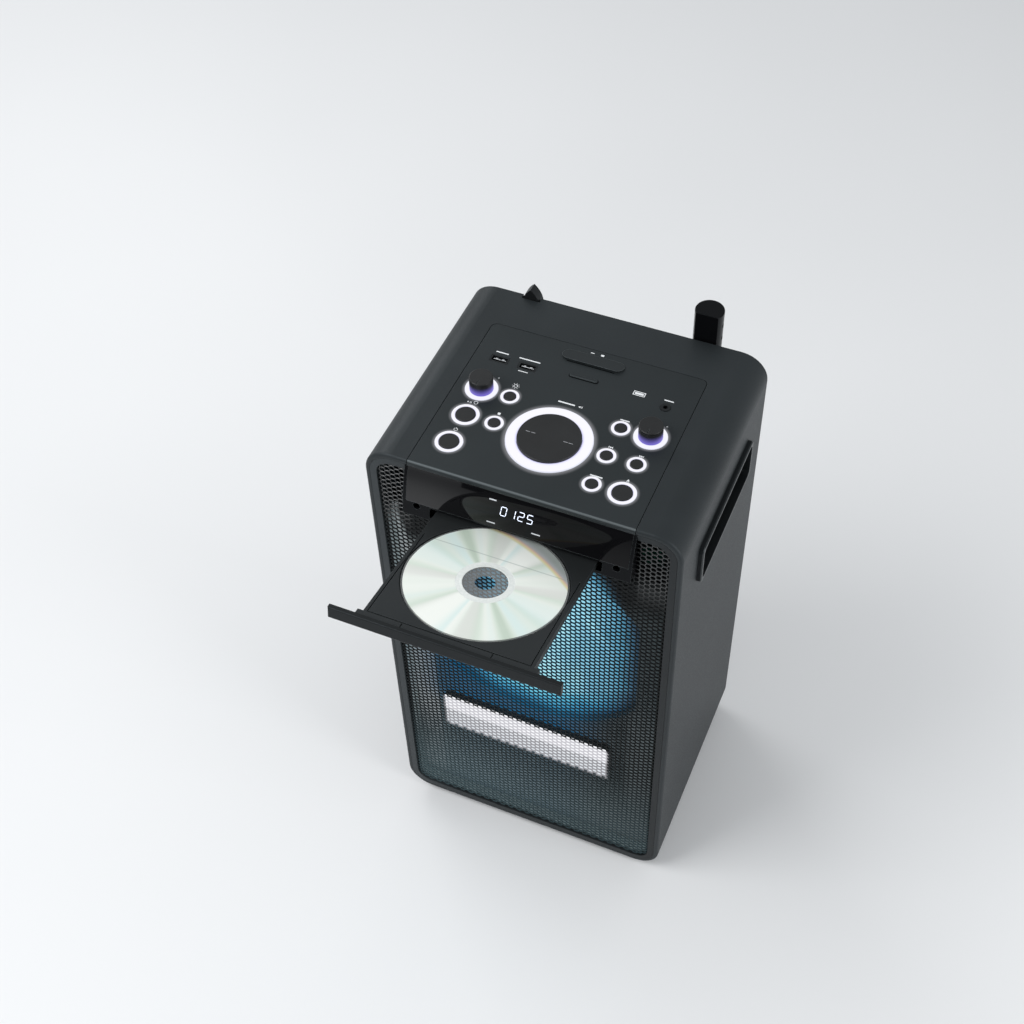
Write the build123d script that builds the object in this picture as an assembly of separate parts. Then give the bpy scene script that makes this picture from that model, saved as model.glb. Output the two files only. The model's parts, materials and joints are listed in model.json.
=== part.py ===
"""Karaoke machine with a tilted disc tray, as separate named pieces.

Millimetres. +Z is up, the front faces -Y and the right side is +X. Y is counted from the front
rim's face while the pieces are drawn. When a piece is written it is moved back by ORIGIN_Y, so that
the origin ends up on the floor, under the middle of the whole machine with its tray out.

The disc drive is tilted: its tray rises towards the front. Its pieces are drawn in tray space:
x across, v backwards along the tray's path, n up from the tray's top face. in_drive() places them.
"""
from build123d import *
import os
from math import acos, cos, pi, radians, sin, tan

# ---------------------------------------------------------------- cabinet
CABINET_WIDTH = 252.0
CABINET_HEIGHT = 470.0
CABINET_DEPTH = 200.0
CORNER_RADIUS = 23.0
WALL = 4.0
SHELL_EDGE_ROUND = 2.5
FOOT_HEIGHT = 6.0
FOOT_RADIUS = 11.0
FOOT_INSET = 30.0

# ---------------------------------------------------------------- clearances
FIT = 0.2                  # round a piece that drops into an opening
SEAT_GAP = 0.3             # between a moving piece and what carries it
SHAFT_GAP = 0.06           # radial, a shaft in its bore
BUTTON_GAP = 0.25          # radial, a button in its light ring

# ---------------------------------------------------------------- front rim and grille
RIM_WIDTH = 9.8            # from the cabinet's outside to the grille opening
RIM_DEPTH = 12.0
RIM_LIP = 3.0              # how far the rim reaches behind the grille
GRILLE_RECESS = 1.8
GRILLE_THICKNESS = 1.0

# ---------------------------------------------------------------- control panel
PANEL_WIDTH = 178.6
PANEL_LENGTH = 160.0
PANEL_THICKNESS = 2.6
PANEL_CORNER = 5.0
PANEL_GAP = 0.5            # seam round the panel's sides and rear
PANEL_SEAT = 3.0           # width of the shelf that the panel lies on
PANEL_LIP_DROP = 4.8       # height of the panel's rolled front edge
PANEL_LIP_DEPTH = 3.4
PANEL_LIP_ROUND = 3.0

# ---------------------------------------------------------------- controls on the panel
COLUMN_INSET = 20.9        # outer columns of controls from the panel's side edges
COLUMN_PITCH = 23.5
FIRST_ROW = 29.3           # distance of the front row of controls from the front
ROW_PITCH = 29.8
DIAL_Y = 58.5
DIAL_RING_GAP = 4.6        # between the dial's ring and the small rings beside it
DIAL_RING_BAND = 8.6
DIAL_THICKNESS = 4.4
DIAL_RISE = 2.6            # dial's top above the panel
DIAL_EDGE_ROUND = 0.6
RING_RISE = 0.4            # how far the light rings stand out of the panel
DIAL_RING_RISE = 0.8
RING_DEPTH = 3.0
KNOB_RING_RADIUS = 12.9
KNOB_RADIUS = 9.3
KNOB_HEIGHT = 12.6
KNOB_EDGE_ROUND = 0.8
KNOB_MARK_WIDTH = 0.8
KNOB_MARK_DEPTH = 0.4
KNOB_MARK_END = 4.2        # inner end of the pointer line from the knob's axis
KNOB_SHAFT_RADIUS = 3.0
KNOB_SHAFT_RELIEF = 1.0
LARGE_RING_RADIUS = 10.7
LARGE_BUTTON_RADIUS = 7.9
SMALL_RING_RADIUS = 7.3
SMALL_BUTTON_RADIUS = 5.0
BUTTON_RISE = 1.0          # top of a button above the panel
BUTTON_TRAVEL = 1.0
BUTTON_FLANGE = 1.3        # the button's lower edge reaches this far under its ring
BUTTON_FLANGE_THICKNESS = 1.2
BUTTON_STEM_RADIUS = 1.6
BOARD_DEPTH = 15.0         # from the panel's top to the control board's top
BOARD_THICKNESS = 1.6
BOARD_MARGIN = 7.4         # board beyond the outer columns of controls
BOARD_FRONT = 16.0
BOARD_REAR = 132.0
BOARD_POST_X = 25.0
BOARD_POST_RADIUS = 2.4
BOARD_POST_Y = (20.0, 122.0)
SWITCH_SIDE = 6.0
SWITCH_HEIGHT = 4.0
POT_SIDE = 14.0
POT_HEIGHT = 6.5
ENCODER_SIDE = 16.0
PORT_ROW = 123.5
PORT_WIDTH = 15.0
PORT_HEIGHT = 7.2
USB_MOUTH_WIDTH = 12.5
USB_MOUTH_HEIGHT = 5.1
USB_DEPTH = 12.0
USB_TONGUE_WIDTH = 11.1
USB_TONGUE_THICKNESS = 1.8
USB_TONGUE_SETBACK = 1.2
USB_TONGUE_GAP = 0.7       # between the tongue and the mouth's rear wall
AUX_Y = 121.5
AUX_FLANGE_RADIUS = 4.0
AUX_BODY_SIDE = 10.0
AUX_BORE_RADIUS = 1.8
AUX_BORE_LENGTH = 13.0
REST_FRONT = 142.2
REST_WIDTH = 51.0
REST_LENGTH = 12.0
REST_RISE = 2.0
REST_REAR_RISE = 0.2
REST_CORNER = 5.9
REST_GROOVE = 1.0
REST_GROOVE_DEPTH = 1.0
STOP_WIDTH = 23.0
STOP_LENGTH = 3.2
STOP_RISE = 1.2
STOP_Y = 127.6
STOP_CHAMFER = 0.5

# ---------------------------------------------------------------- disc drive, in tray space
TILT = 10.5                # degrees that the tray rises towards the front
TRAY_DROP = 39.3           # tray's top below the cabinet's top, at the front rim's face
LEDGE_REACH = 9.8          # ledge's face in front of the rim's face, along the tray
LEDGE_THICKNESS = 2.5
LEDGE_BOTTOM = -8.6
DISPLAY_BOTTOM = 4.2
CHEEK_THICKNESS = 2.6
UNIT_OVERHANG = 1.7        # unit wider than the panel, on each side
UNIT_BACK = 14.0
DISPLAY_THICKNESS = 2.6
PEG_HOLE_RADIUS = 2.9
PEG_HOLE_OFFSET = 1.0      # outward from halfway between the slot and the cheek
PEG_HOLE_N = 1.0
SLOT_TOP = 2.8
SLOT_SIDE_GAP = 0.6        # between the tray's lip and the slot's ends
SLOT_BOTTOM_GAP = 0.4
TRAY_WIDTH = 128.0
TRAY_THICKNESS = 3.2
TRAY_SKIRT = 6.0           # depth of the tray's side skirts below its top
TRAY_SKIRT_WIDTH = 2.0
TRAY_REAR = 30.0           # rear end of the open tray
TRAY_TRAVEL = 121.5
TRAY_EDGE_RADIUS = 5.0
LIP_OVERHANG = 4.2         # lip behind the fascia, wider than the tray on each side
LIP_LENGTH = 5.4
FASCIA_WIDTH = 174.4
FASCIA_THICKNESS = 3.8
FASCIA_TOP = 1.4
FASCIA_DROP = 8.4
FASCIA_ROUND = 1.0
DISC_RADIUS = 60.0
DISC_HOLE_RADIUS = 7.5
DISC_THICKNESS = 1.2
DISC_FROM_FASCIA = 72.7    # disc's centre behind the fascia's front face
RECESS_RADIUS = 60.9
RECESS_DEPTH = 1.9
SMALL_RECESS_RADIUS = 40.6
SMALL_RECESS_STEP = 0.4
WINDOW_RADIUS = 19.0       # opening in the tray round the turntable
WINDOW_SLOT_WIDTH = 30.0   # opening behind it for the laser lens
GROOVE_WIDTH = 0.9
GROOVE_DEPTH = 1.2
GROOVE_INSET = 2.4
SIDE_GROOVE_LENGTH = 92.0
TICK_SPACING = 68.0
TICK_START = 1.0           # ticks start this far behind the fascia

CHASSIS_MARGIN = 9.0       # outside of the side walls from the tray's edges
CHASSIS_WALL = 2.5
CHASSIS_FRONT = 10.0
CHASSIS_REAR = 158.0
CHASSIS_FLOOR = -16.0
CHASSIS_FLOOR_THICKNESS = 2.0
CHASSIS_TOP = 9.0
GUIDE_THICKNESS = 2.0
GUIDE_FRONT = -2.0
UNIT_FLOOR_END = 5.0
GUIDE_OVERLAP = 1.8        # how far the guides reach over and under the tray's edge
PILLAR_INSET = 7.3         # from the panel's side edges
PILLAR_RADIUS = 3.5
PILLAR_ROWS = (18.0, 150.0)
EAR_HEIGHT = 6.0

GEAR_MODULE = 1.0
PRESSURE_ANGLE = 20.0
TOOTH_THINNING = 0.3       # backlash taken off each tooth, at the pitch line
TOOTH_ADDENDUM = 0.8
TOOTH_DEDENDUM = 1.25
RACK_PINION_TEETH = 16
LARGE_GEAR_TEETH = 26
MOTOR_PINION_TEETH = 12
GEAR_INSET = 18.0          # tray gear's axle from the tray's left edge
GEAR_V = 20.0
RACK_BODY = 3.0
PINION_THICKNESS = 2.6
LARGE_GEAR_THICKNESS = 2.5
GEAR_STEP_GAP = 0.8
AXLE_RADIUS = 2.0
MOTOR_RADIUS = 9.0
MOTOR_LENGTH = 10.0
MOTOR_SHAFT_RADIUS = 1.0

SPINDLE_MOTOR_RADIUS = 12.0
SPINDLE_MOTOR_HEIGHT = 6.6
SPINDLE_SHAFT_RADIUS = 1.25
SPINDLE_BORE_FLOOR = 1.0   # metal left under the spindle's bore
TURNTABLE_HUB_CHAMFER = 0.8
TURNTABLE_RADIUS = 13.0
TURNTABLE_THICKNESS = 1.6
TURNTABLE_TOP = -6.2
TURNTABLE_HUB_RADIUS = 7.2
TURNTABLE_HUB_TOP = -3.8
BRIDGE_WIDTH = 30.0
BRIDGE_THICKNESS = 2.0
BRIDGE_HOLE_RADIUS = 13.6
CLAMP_RADIUS = 13.0
CLAMP_FLANGE_RADIUS = 15.6
CLAMP_FLANGE_THICKNESS = 1.6
CLAMP_BOTTOM = 0.9
RAIL_SPACING = 40.0
RAIL_RADIUS = 1.5
RAIL_N = -11.0
RAIL_BLOCK = 4.0           # length of the blocks that hold the rails' ends
RAIL_BLOCK_WIDTH = 8.0
RAIL_BLOCK_TOP = -8.0
RAIL_FIT = 0.02
RAIL_SPARE = 15.6          # rail behind the sled at the end of a disc
RAIL_FRONT_GAP = 1.5       # front blocks behind the spindle motor
SLED_WIDTH = 50.0
SLED_LENGTH = 26.0
SLED_BOTTOM = -14.4
SLED_TOP = -8.0
LENS_RADIUS = 3.6
LENS_TOP = -5.4
LENS_START = 24.5          # lens's distance from the disc's centre at the start of a disc
SLED_TRAVEL = 33.0
SLED_STOP_GAP = 1.0        # between the sled and the front blocks at the start of a disc

# ---------------------------------------------------------------- display
MODULE_WIDTH = 66.0
MODULE_HEIGHT = 19.0
MODULE_THICKNESS = 1.6
DIGIT_BLOCK_WIDTH = 44.0
DIGIT_BLOCK_HEIGHT = 14.0
DIGIT_CENTRE_Z = 20.8      # digit block's middle below the cabinet's top
DIGIT_BLOCK_DEPTH = 12.0
MODULE_SETBACK = 5.2       # module's face behind the display window's back, at its top

# ---------------------------------------------------------------- side handles
HANDLE_LENGTH = 122.0
HANDLE_HEIGHT = 40.0
HANDLE_CENTRE_Y = 101.0
HANDLE_CENTRE_DROP = 70.0  # handle's middle below the cabinet's top
HANDLE_FRAME = 3.0
HANDLE_FRAME_RISE = 4.0
HANDLE_CORNER = 5.0
HANDLE_CUP_WALL = 1.8
HANDLE_DEPTH = 26.0

# ---------------------------------------------------------------- loudspeaker and lights
WOOFER_HEIGHT = 280.0      # woofer's axis above the cabinet's underside
WOOFER_RADIUS = 90.0
WOOFER_FLANGE = 4.0
WOOFER_FLANGE_INNER = 78.0
WOOFER_SCREW_OUT = 2.0     # screws outward from the middle of the flange
WOOFER_SCREW_COUNT = 8
BAFFLE_HOLE_RADIUS = 80.0
BASKET_WALL = 2.0
BASKET_DEPTH = 62.0
BASKET_REAR_RADIUS = 42.0
BASKET_WINDOWS = 6
BASKET_WINDOW_WIDTH = 37.9
BASKET_WINDOW_LENGTH = 38.0
BASKET_WINDOW_START = 14.0 # behind the baffle's front
BASKET_STEP = 0.4          # basket's mouth smaller than the flange's inner edge
MAGNET_RADIUS = 50.0
MAGNET_THICKNESS = 26.0
POLE_BORE_RADIUS = 20.0
POLE_RADIUS = 16.4
POLE_SETBACK = 1.0         # pole's face behind the magnet's front
SURROUND_INNER = 66.3
SURROUND_ROLL = 4.6
SURROUND_THICKNESS = 1.0
SURROUND_CREST = 1.4       # thickness at the top of the roll
SURROUND_STEP = 0.4
SURROUND_SEAT = 4.0        # width glued to the frame
CONE_RADIUS = 66.0
CONE_RIM = 2.0
CONE_THICKNESS = 1.2
CONE_DEPTH = 27.0
COIL_RADIUS = 18.6
COIL_WALL = 1.2
COIL_LENGTH = 50.0
CONE_STROKE = 3.0
COIL_END_GAP = 5.0         # left behind the coil at full stroke
DUST_CAP_RADIUS = 24.0
DUST_CAP_RISE = 9.0
DUST_CAP_WALL = 1.0
LIGHT_FRAME_FRONT = 14.0
LIGHT_FRAME_THICKNESS = 6.0
LIGHT_FRAME_TOP = 392.0    # above the cabinet's underside
LIGHT_WINDOW_RADIUS = 108.0
LIGHT_WINDOW_WIDTH = 185.2
GLOW_THICKNESS = 3.0
GLOW_OVERLAP = 3.5
BAFFLE_THICKNESS = 12.0
LED_BAR_X = -6.0           # middle of the lit bar, left of the cabinet's middle
LED_BAR_WIDTH = 154.0
LED_BAR_HEIGHT = 43.0
LED_BAR_BOTTOM = 114.0     # above the cabinet's underside
LED_BAR_DEPTH = 6.5
LED_BAR_WALL = 1.5

# ---------------------------------------------------------------- rear and inside
REAR_PANEL_THICKNESS = 4.0
PORT_RADIUS = 30.0         # bass port's clear bore
PORT_WALL = 2.5
PORT_LENGTH = 70.0
PORT_FLANGE = 8.0
PORT_HEIGHT_REAR = 300.0
BOSS_RADIUS = 5.0
BOSS_LENGTH = 16.0
BOSS_INSET = 9.0           # boss's axis from the shell's inner wall
SCREW_RADIUS = 1.5
SCREW_HEAD_RADIUS = 3.4
SCREW_HEAD_HEIGHT = 2.0
SCREW_LENGTH = 14.0
SOCKET_PLATE_WIDTH = 120.0
SOCKET_PLATE_HEIGHT = 56.0
SOCKET_PLATE_THICKNESS = 2.0
SOCKET_PLATE_CORNER = 4.0
SOCKET_SCREW_INSET = 4.0
SOCKET_PLATE_Z = 78.0      # its middle above the cabinet's underside
SOCKET_PLATE_OVERLAP = 7.0
MIC_JACK_SPACING = 30.0
MIC_JACK_X = 28.0          # middle of the two jacks
MIC_JACK_RADIUS = 8.5
MIC_JACK_NUT_RADIUS = 6.5
MIC_JACK_COLLAR = 5.3      # radius of the collar through the plate
MIC_JACK_NUT_HEIGHT = 3.0
MIC_BORE_RADIUS = 3.2
MIC_BORE_LENGTH = 28.0
MIC_JACK_BACK = 4.0        # behind the bore's end
INLET_X = -30.0
INLET_WIDTH = 30.0
INLET_HEIGHT = 20.0
INLET_DEPTH = 22.0
INLET_RECESS_WIDTH = 16.6
INLET_RECESS_HEIGHT = 8.6
INLET_RECESS_DEPTH = 13.0
INLET_PIN_SPACING = 8.6
INLET_PIN_RADIUS = 1.2
INLET_PIN_LENGTH = 8.0
AMP_WIDTH = 140.0
AMP_HEIGHT = 80.0
AMP_Z = 180.0
AMP_STANDOFF = 10.0
AMP_FOOT_INSET = 6.0
AMP_FOOT_RADIUS = 3.0
SINK_SIDE_MARGIN = 20.0
SINK_END_MARGIN = 12.0
SINK_BASE = 4.0
SINK_FINS = 9
SINK_FIN_DEPTH = 18.0
SINK_FIN_THICKNESS = 1.6
SUPPLY_WIDTH = 90.0
SUPPLY_LENGTH = 60.0
SUPPLY_HEIGHT = 26.0
SUPPLY_X = -52.0
SUPPLY_Y = 125.0
BATTERY_WIDTH = 92.0
BATTERY_LENGTH = 70.0
BATTERY_HEIGHT = 65.0
BATTERY_X = 55.0
BATTERY_Y = 125.0
INNER_BOX_CHAMFER = 2.0    # top edges of the power supply and the battery pack

# ---------------------------------------------------------------- microphone hook and post
HOLDER_X = 72.5
HOLDER_DROP = 50.0         # their lower ends below the cabinet's top
HOOK_WIDTH = 15.2
HOOK_TIP_RISE = 10.0       # hook's tip above the cabinet's top
HOOK_SETBACK = 4.4         # hook's front face ahead of the cabinet's rear face
HOOK_THICKNESS = 4.0
HOOK_REACH = 14.0          # gap between the hook's plate and its lip
HOOK_LIP_HEIGHT = 14.0
POST_RADIUS = 11.6
POST_FRONT_GAP = 1.5       # post's flat face behind the cabinet's rear face
POST_FLAT = 7.2            # flat's distance from the post's axis
POST_RISE = 26.5
POST_PAD_WIDTH = 14.0
POST_SLOT = 3.2
POST_SLOT_DEPTH = 1.4

# ---------------------------------------------------------------- derived places
BASE_Z = FOOT_HEIGHT
OUTER_COLUMN = PANEL_WIDTH / 2 - COLUMN_INSET
INNER_COLUMN = OUTER_COLUMN - COLUMN_PITCH
BOARD_HALF_WIDTH = OUTER_COLUMN + BOARD_MARGIN
DIAL_RING_RADIUS = INNER_COLUMN - SMALL_RING_RADIUS - DIAL_RING_GAP
DIAL_RADIUS = DIAL_RING_RADIUS - DIAL_RING_BAND
UNIT_HALF_WIDTH = PANEL_WIDTH / 2 + UNIT_OVERHANG
PILLAR_X = PANEL_WIDTH / 2 - PILLAR_INSET
LIP_HALF_WIDTH = TRAY_WIDTH / 2 + LIP_OVERHANG
CHASSIS_HALF_WIDTH = TRAY_WIDTH / 2 + CHASSIS_MARGIN
GEAR_X = GEAR_INSET - TRAY_WIDTH / 2
TOP_Z = BASE_Z + CABINET_HEIGHT
TRAY_Z = TOP_Z - TRAY_DROP
INNER_WIDTH = CABINET_WIDTH - 2 * WALL
INNER_HEIGHT = CABINET_HEIGHT - 2 * WALL
INNER_RADIUS = CORNER_RADIUS - WALL
MID_Z = BASE_Z + CABINET_HEIGHT / 2
REAR_PANEL_FRONT = CABINET_DEPTH - REAR_PANEL_THICKNESS
FASCIA_FRONT = -(LEDGE_REACH + FIT + TRAY_TRAVEL + FASCIA_THICKNESS)
FASCIA_BACK = FASCIA_FRONT + FASCIA_THICKNESS
DISC_V = FASCIA_FRONT + DISC_FROM_FASCIA
SPINDLE_V = DISC_V + TRAY_TRAVEL
WOOFER_Z = BASE_Z + WOOFER_HEIGHT
PANEL_UNDERSIDE = TOP_Z - PANEL_THICKNESS
BOARD_TOP = TOP_Z - BOARD_DEPTH
COS_TILT = cos(radians(TILT))
SIN_TILT = sin(radians(TILT))
DRIVE_PLANE = Plane(origin=(0, 0, TRAY_Z), x_dir=(1, 0, 0), z_dir=(0, SIN_TILT, COS_TILT))
POST_Y = CABINET_DEPTH + POST_FRONT_GAP + POST_FLAT
FRONTMOST = FASCIA_FRONT * COS_TILT - FASCIA_DROP * SIN_TILT
REARMOST = max(POST_Y + POST_RADIUS, CABINET_DEPTH + 2 * HOOK_THICKNESS + HOOK_REACH)
ORIGIN_Y = (FRONTMOST + REARMOST) / 2

BUTTONS = {                # name: (x, row, is it one of the large ones)
    "play_button": (-OUTER_COLUMN, 1, True),
    "power_button": (-OUTER_COLUMN, 0, True),
    "eject_button": (OUTER_COLUMN, 0, True),
    "light_button": (-INNER_COLUMN, 2, False),
    "stop_button": (-INNER_COLUMN, 1, False),
    "audio_button": (INNER_COLUMN, 2, False),
    "previous_button": (INNER_COLUMN, 1, False),
    "source_button": (INNER_COLUMN, 0, False),
    "next_button": (OUTER_COLUMN, 1, False),
}
KNOBS = {"microphone_volume_knob": -OUTER_COLUMN, "echo_knob": OUTER_COLUMN}
KNOB_ROW = 2


# ---------------------------------------------------------------- small helpers
def block(x0, x1, y0, y1, z0, z1):
    """A box between two corners."""
    return Pos((x0 + x1) / 2, (y0 + y1) / 2, (z0 + z1) / 2) * Box(x1 - x0, y1 - y0, z1 - z0)


def upright(x, y, z0, z1, radius):
    """A cylinder along Z between two heights."""
    return Pos(x, y, (z0 + z1) / 2) * Cylinder(radius, z1 - z0)


def level(x, z, y0, y1, radius):
    """A cylinder along Y between two depths."""
    return Pos(x, (y0 + y1) / 2, z) * Rot(90, 0, 0) * Cylinder(radius, y1 - y0)


def slab(outline, y0, y1):
    """A sketch of X and Z, thickened along Y."""
    return extrude(Plane.XZ.offset(-y0) * outline, amount=-(y1 - y0))


def across(points_or_edges, half_width):
    """A closed outline of Y and Z, thickened along X to both sides."""
    return extrude(Plane.YZ * make_face(points_or_edges), amount=half_width, both=True)


def in_drive(shape):
    """Place a shape drawn in tray space."""
    return DRIVE_PLANE.location * shape


def drive_point(v, n):
    """The Y and Z of a point given in tray space."""
    return (v * COS_TILT + n * SIN_TILT, TRAY_Z - v * SIN_TILT + n * COS_TILT)


def row_y(row):
    return FIRST_ROW + row * ROW_PITCH


def cabinet_outline(inset):
    """The cabinet's cross section, made smaller all round by inset."""
    radius = CORNER_RADIUS - inset
    return Pos(0, MID_Z) * RectangleRounded(CABINET_WIDTH - 2 * inset, CABINET_HEIGHT - 2 * inset, radius)


def gear_outline(teeth):
    """Involute teeth, one of them pointing along +X, each thinned for backlash."""
    pitch_radius = GEAR_MODULE * teeth / 2
    base_radius = pitch_radius * cos(radians(PRESSURE_ANGLE))
    tip_radius = pitch_radius + TOOTH_ADDENDUM * GEAR_MODULE
    root_radius = pitch_radius - TOOTH_DEDENDUM * GEAR_MODULE
    start_radius = max(base_radius, root_radius)
    half_at_pitch = pi / (2 * teeth) - TOOTH_THINNING / (2 * pitch_radius)

    def involute(radius):
        angle = acos(min(1.0, base_radius / radius))
        return tan(angle) - angle

    flank = []
    for step in range(5):
        radius = start_radius + (tip_radius - start_radius) * step / 4
        flank.append((radius, half_at_pitch + involute(pitch_radius) - involute(radius)))
    if root_radius < start_radius:
        flank.insert(0, (root_radius, flank[0][1]))
    points = []
    for tooth in range(teeth):
        middle = 2 * pi * tooth / teeth
        side = [(radius, middle - half) for radius, half in flank]
        side += [(radius, middle + half) for radius, half in reversed(flank)]
        points += [(radius * cos(angle), radius * sin(angle)) for radius, angle in side]
    return make_face(Polyline(*points, close=True))


# ---------------------------------------------------------------- cabinet pieces
def boss_places():
    """Axes of the rear panel's screws, each with the direction of the nearest wall."""
    side_x = INNER_WIDTH / 2 - BOSS_INSET
    top_z = BASE_Z + CABINET_HEIGHT - WALL - BOSS_INSET
    low_z = BASE_Z + WALL + BOSS_INSET
    far_x = INNER_WIDTH / 2 - INNER_RADIUS
    far_z = INNER_HEIGHT / 2 - INNER_RADIUS
    places = []
    for side in (-1, 1):
        heights = (-far_z, -far_z / 3, far_z / 3, far_z)
        places += [(side * side_x, MID_Z + height, side, 0) for height in heights]
        places += [(side * far_x, top_z, 0, 1), (side * far_x, low_z, 0, -1)]
    return places


def cabinet_shell():
    shell = slab(cabinet_outline(0), 0, CABINET_DEPTH)
    shell = fillet(shell.faces().sort_by(Axis.Y)[0].edges(), SHELL_EDGE_ROUND)
    shell -= slab(cabinet_outline(WALL), 0, CABINET_DEPTH)
    half = PANEL_WIDTH / 2 + PANEL_GAP
    seat_half = PANEL_WIDTH / 2 - PANEL_SEAT
    room = block(-half, half, 0, PANEL_LENGTH + PANEL_GAP, PANEL_UNDERSIDE, TOP_Z)
    rear_corners = room.edges().filter_by(Axis.Z).sort_by(Axis.Y)[-2:]
    shell -= fillet(rear_corners, PANEL_CORNER + PANEL_GAP)
    shell -= block(-seat_half, seat_half, 0, PANEL_LENGTH - PANEL_SEAT, TOP_Z - WALL, TOP_Z)
    shell -= block(-half, half, 0, PANEL_LIP_DEPTH + FIT, TOP_Z - WALL, TOP_Z)
    opening = Plane.YZ * Pos(HANDLE_CENTRE_Y, TOP_Z - HANDLE_CENTRE_DROP) * RectangleRounded(
        HANDLE_LENGTH - 2 * HANDLE_FRAME + 2 * HANDLE_CUP_WALL + 2 * FIT,
        HANDLE_HEIGHT - 2 * HANDLE_FRAME + 2 * HANDLE_CUP_WALL + 2 * FIT,
        HANDLE_CORNER,
    )
    shell -= extrude(opening, amount=CABINET_WIDTH, both=True)
    hook_half = HOOK_WIDTH / 2 + FIT
    hook_front = CABINET_DEPTH - HOOK_SETBACK - FIT
    hook_room = (-HOLDER_X - hook_half, -HOLDER_X + hook_half, hook_front, CABINET_DEPTH)
    shell -= block(*hook_room, TOP_Z - WALL, TOP_Z)
    for x, z, wall_x, wall_z in boss_places():
        boss = level(x, z, REAR_PANEL_FRONT - BOSS_LENGTH, REAR_PANEL_FRONT, BOSS_RADIUS)
        web_x = sorted((x, x + wall_x * (BOSS_INSET + WALL / 2)))
        web_z = sorted((z, z + wall_z * (BOSS_INSET + WALL / 2)))
        spread = BOSS_RADIUS / 2
        boss += block(
            web_x[0] - spread * abs(wall_z), web_x[1] + spread * abs(wall_z),
            REAR_PANEL_FRONT - BOSS_LENGTH, REAR_PANEL_FRONT,
            web_z[0] - spread * abs(wall_x), web_z[1] + spread * abs(wall_x),
        )
        shell += boss
    for x, z, _, _ in boss_places():
        shell -= level(x, z, REAR_PANEL_FRONT - BOSS_LENGTH, REAR_PANEL_FRONT, SCREW_RADIUS + SHAFT_GAP)
    return shell


def unit_underside_z(y):
    """Height of the drive unit's underside at a depth."""
    return TRAY_Z + (LEDGE_BOTTOM - y * SIN_TILT) / COS_TILT


def notch(extra):
    """Room for the drive unit in what lies round it, down to its underside behind the grille."""
    half = UNIT_HALF_WIDTH + extra
    low = unit_underside_z(RIM_DEPTH) - extra
    return block(-half, half, -1, RIM_DEPTH + 1, low, TOP_Z + 1)


def front_bezel():
    rim = slab(cabinet_outline(WALL + FIT), 0, RIM_DEPTH) - slab(cabinet_outline(RIM_WIDTH), 0, RIM_DEPTH)
    behind_grille = GRILLE_RECESS + GRILLE_THICKNESS + FIT / 2
    lip = slab(cabinet_outline(RIM_WIDTH), behind_grille, RIM_DEPTH)
    lip -= slab(cabinet_outline(RIM_WIDTH + RIM_LIP), behind_grille, RIM_DEPTH)
    return rim + lip - notch(FIT)


def front_grille():
    sheet = slab(cabinet_outline(RIM_WIDTH + FIT), GRILLE_RECESS, GRILLE_RECESS + GRILLE_THICKNESS)
    return sheet - notch(FIT)


def rear_panel():
    panel = slab(cabinet_outline(WALL + FIT), REAR_PANEL_FRONT, CABINET_DEPTH)
    port_hole = PORT_RADIUS + PORT_WALL + FIT
    panel -= level(0, BASE_Z + PORT_HEIGHT_REAR, REAR_PANEL_FRONT, CABINET_DEPTH, port_hole)
    cut_x = SOCKET_PLATE_WIDTH / 2 - SOCKET_PLATE_OVERLAP
    cut_z = SOCKET_PLATE_HEIGHT / 2 - SOCKET_PLATE_OVERLAP
    middle = BASE_Z + SOCKET_PLATE_Z
    panel -= block(-cut_x, cut_x, REAR_PANEL_FRONT, CABINET_DEPTH, middle - cut_z, middle + cut_z)
    for x, z, _, _ in boss_places():
        panel -= level(x, z, REAR_PANEL_FRONT, CABINET_DEPTH, SCREW_RADIUS + FIT)
    return panel


def rubber_feet():
    feet = []
    for x in (-CABINET_WIDTH / 2 + FOOT_INSET, CABINET_WIDTH / 2 - FOOT_INSET):
        for y in (FOOT_INSET, CABINET_DEPTH - FOOT_INSET):
            foot = upright(x, y, 0, FOOT_HEIGHT, FOOT_RADIUS)
            feet.append(chamfer(foot.edges().group_by(Axis.Z)[0], 1.0))
    return feet


def side_handle(side):
    """A framed grip pocket in one side: side is -1 on the left and 1 on the right."""
    face = CABINET_WIDTH / 2
    middle = Pos(HANDLE_CENTRE_Y, TOP_Z - HANDLE_CENTRE_DROP)

    def prism(shrink, x0, x1):
        outline = RectangleRounded(HANDLE_LENGTH - 2 * shrink, HANDLE_HEIGHT - 2 * shrink, HANDLE_CORNER)
        return extrude(Plane.YZ.offset(x0) * middle * outline, amount=x1 - x0)

    frame = prism(0, face, face + HANDLE_FRAME_RISE)
    frame = chamfer(frame.faces().sort_by(Axis.X)[-1].edges(), 0.8)
    cup_shrink = HANDLE_FRAME - HANDLE_CUP_WALL
    cup = prism(cup_shrink, face - HANDLE_DEPTH, face)
    pocket = prism(HANDLE_FRAME, face - HANDLE_DEPTH + HANDLE_CUP_WALL, face + HANDLE_FRAME_RISE)
    handle = frame + cup - pocket
    return handle if side > 0 else mirror(handle, about=Plane.YZ)


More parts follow.
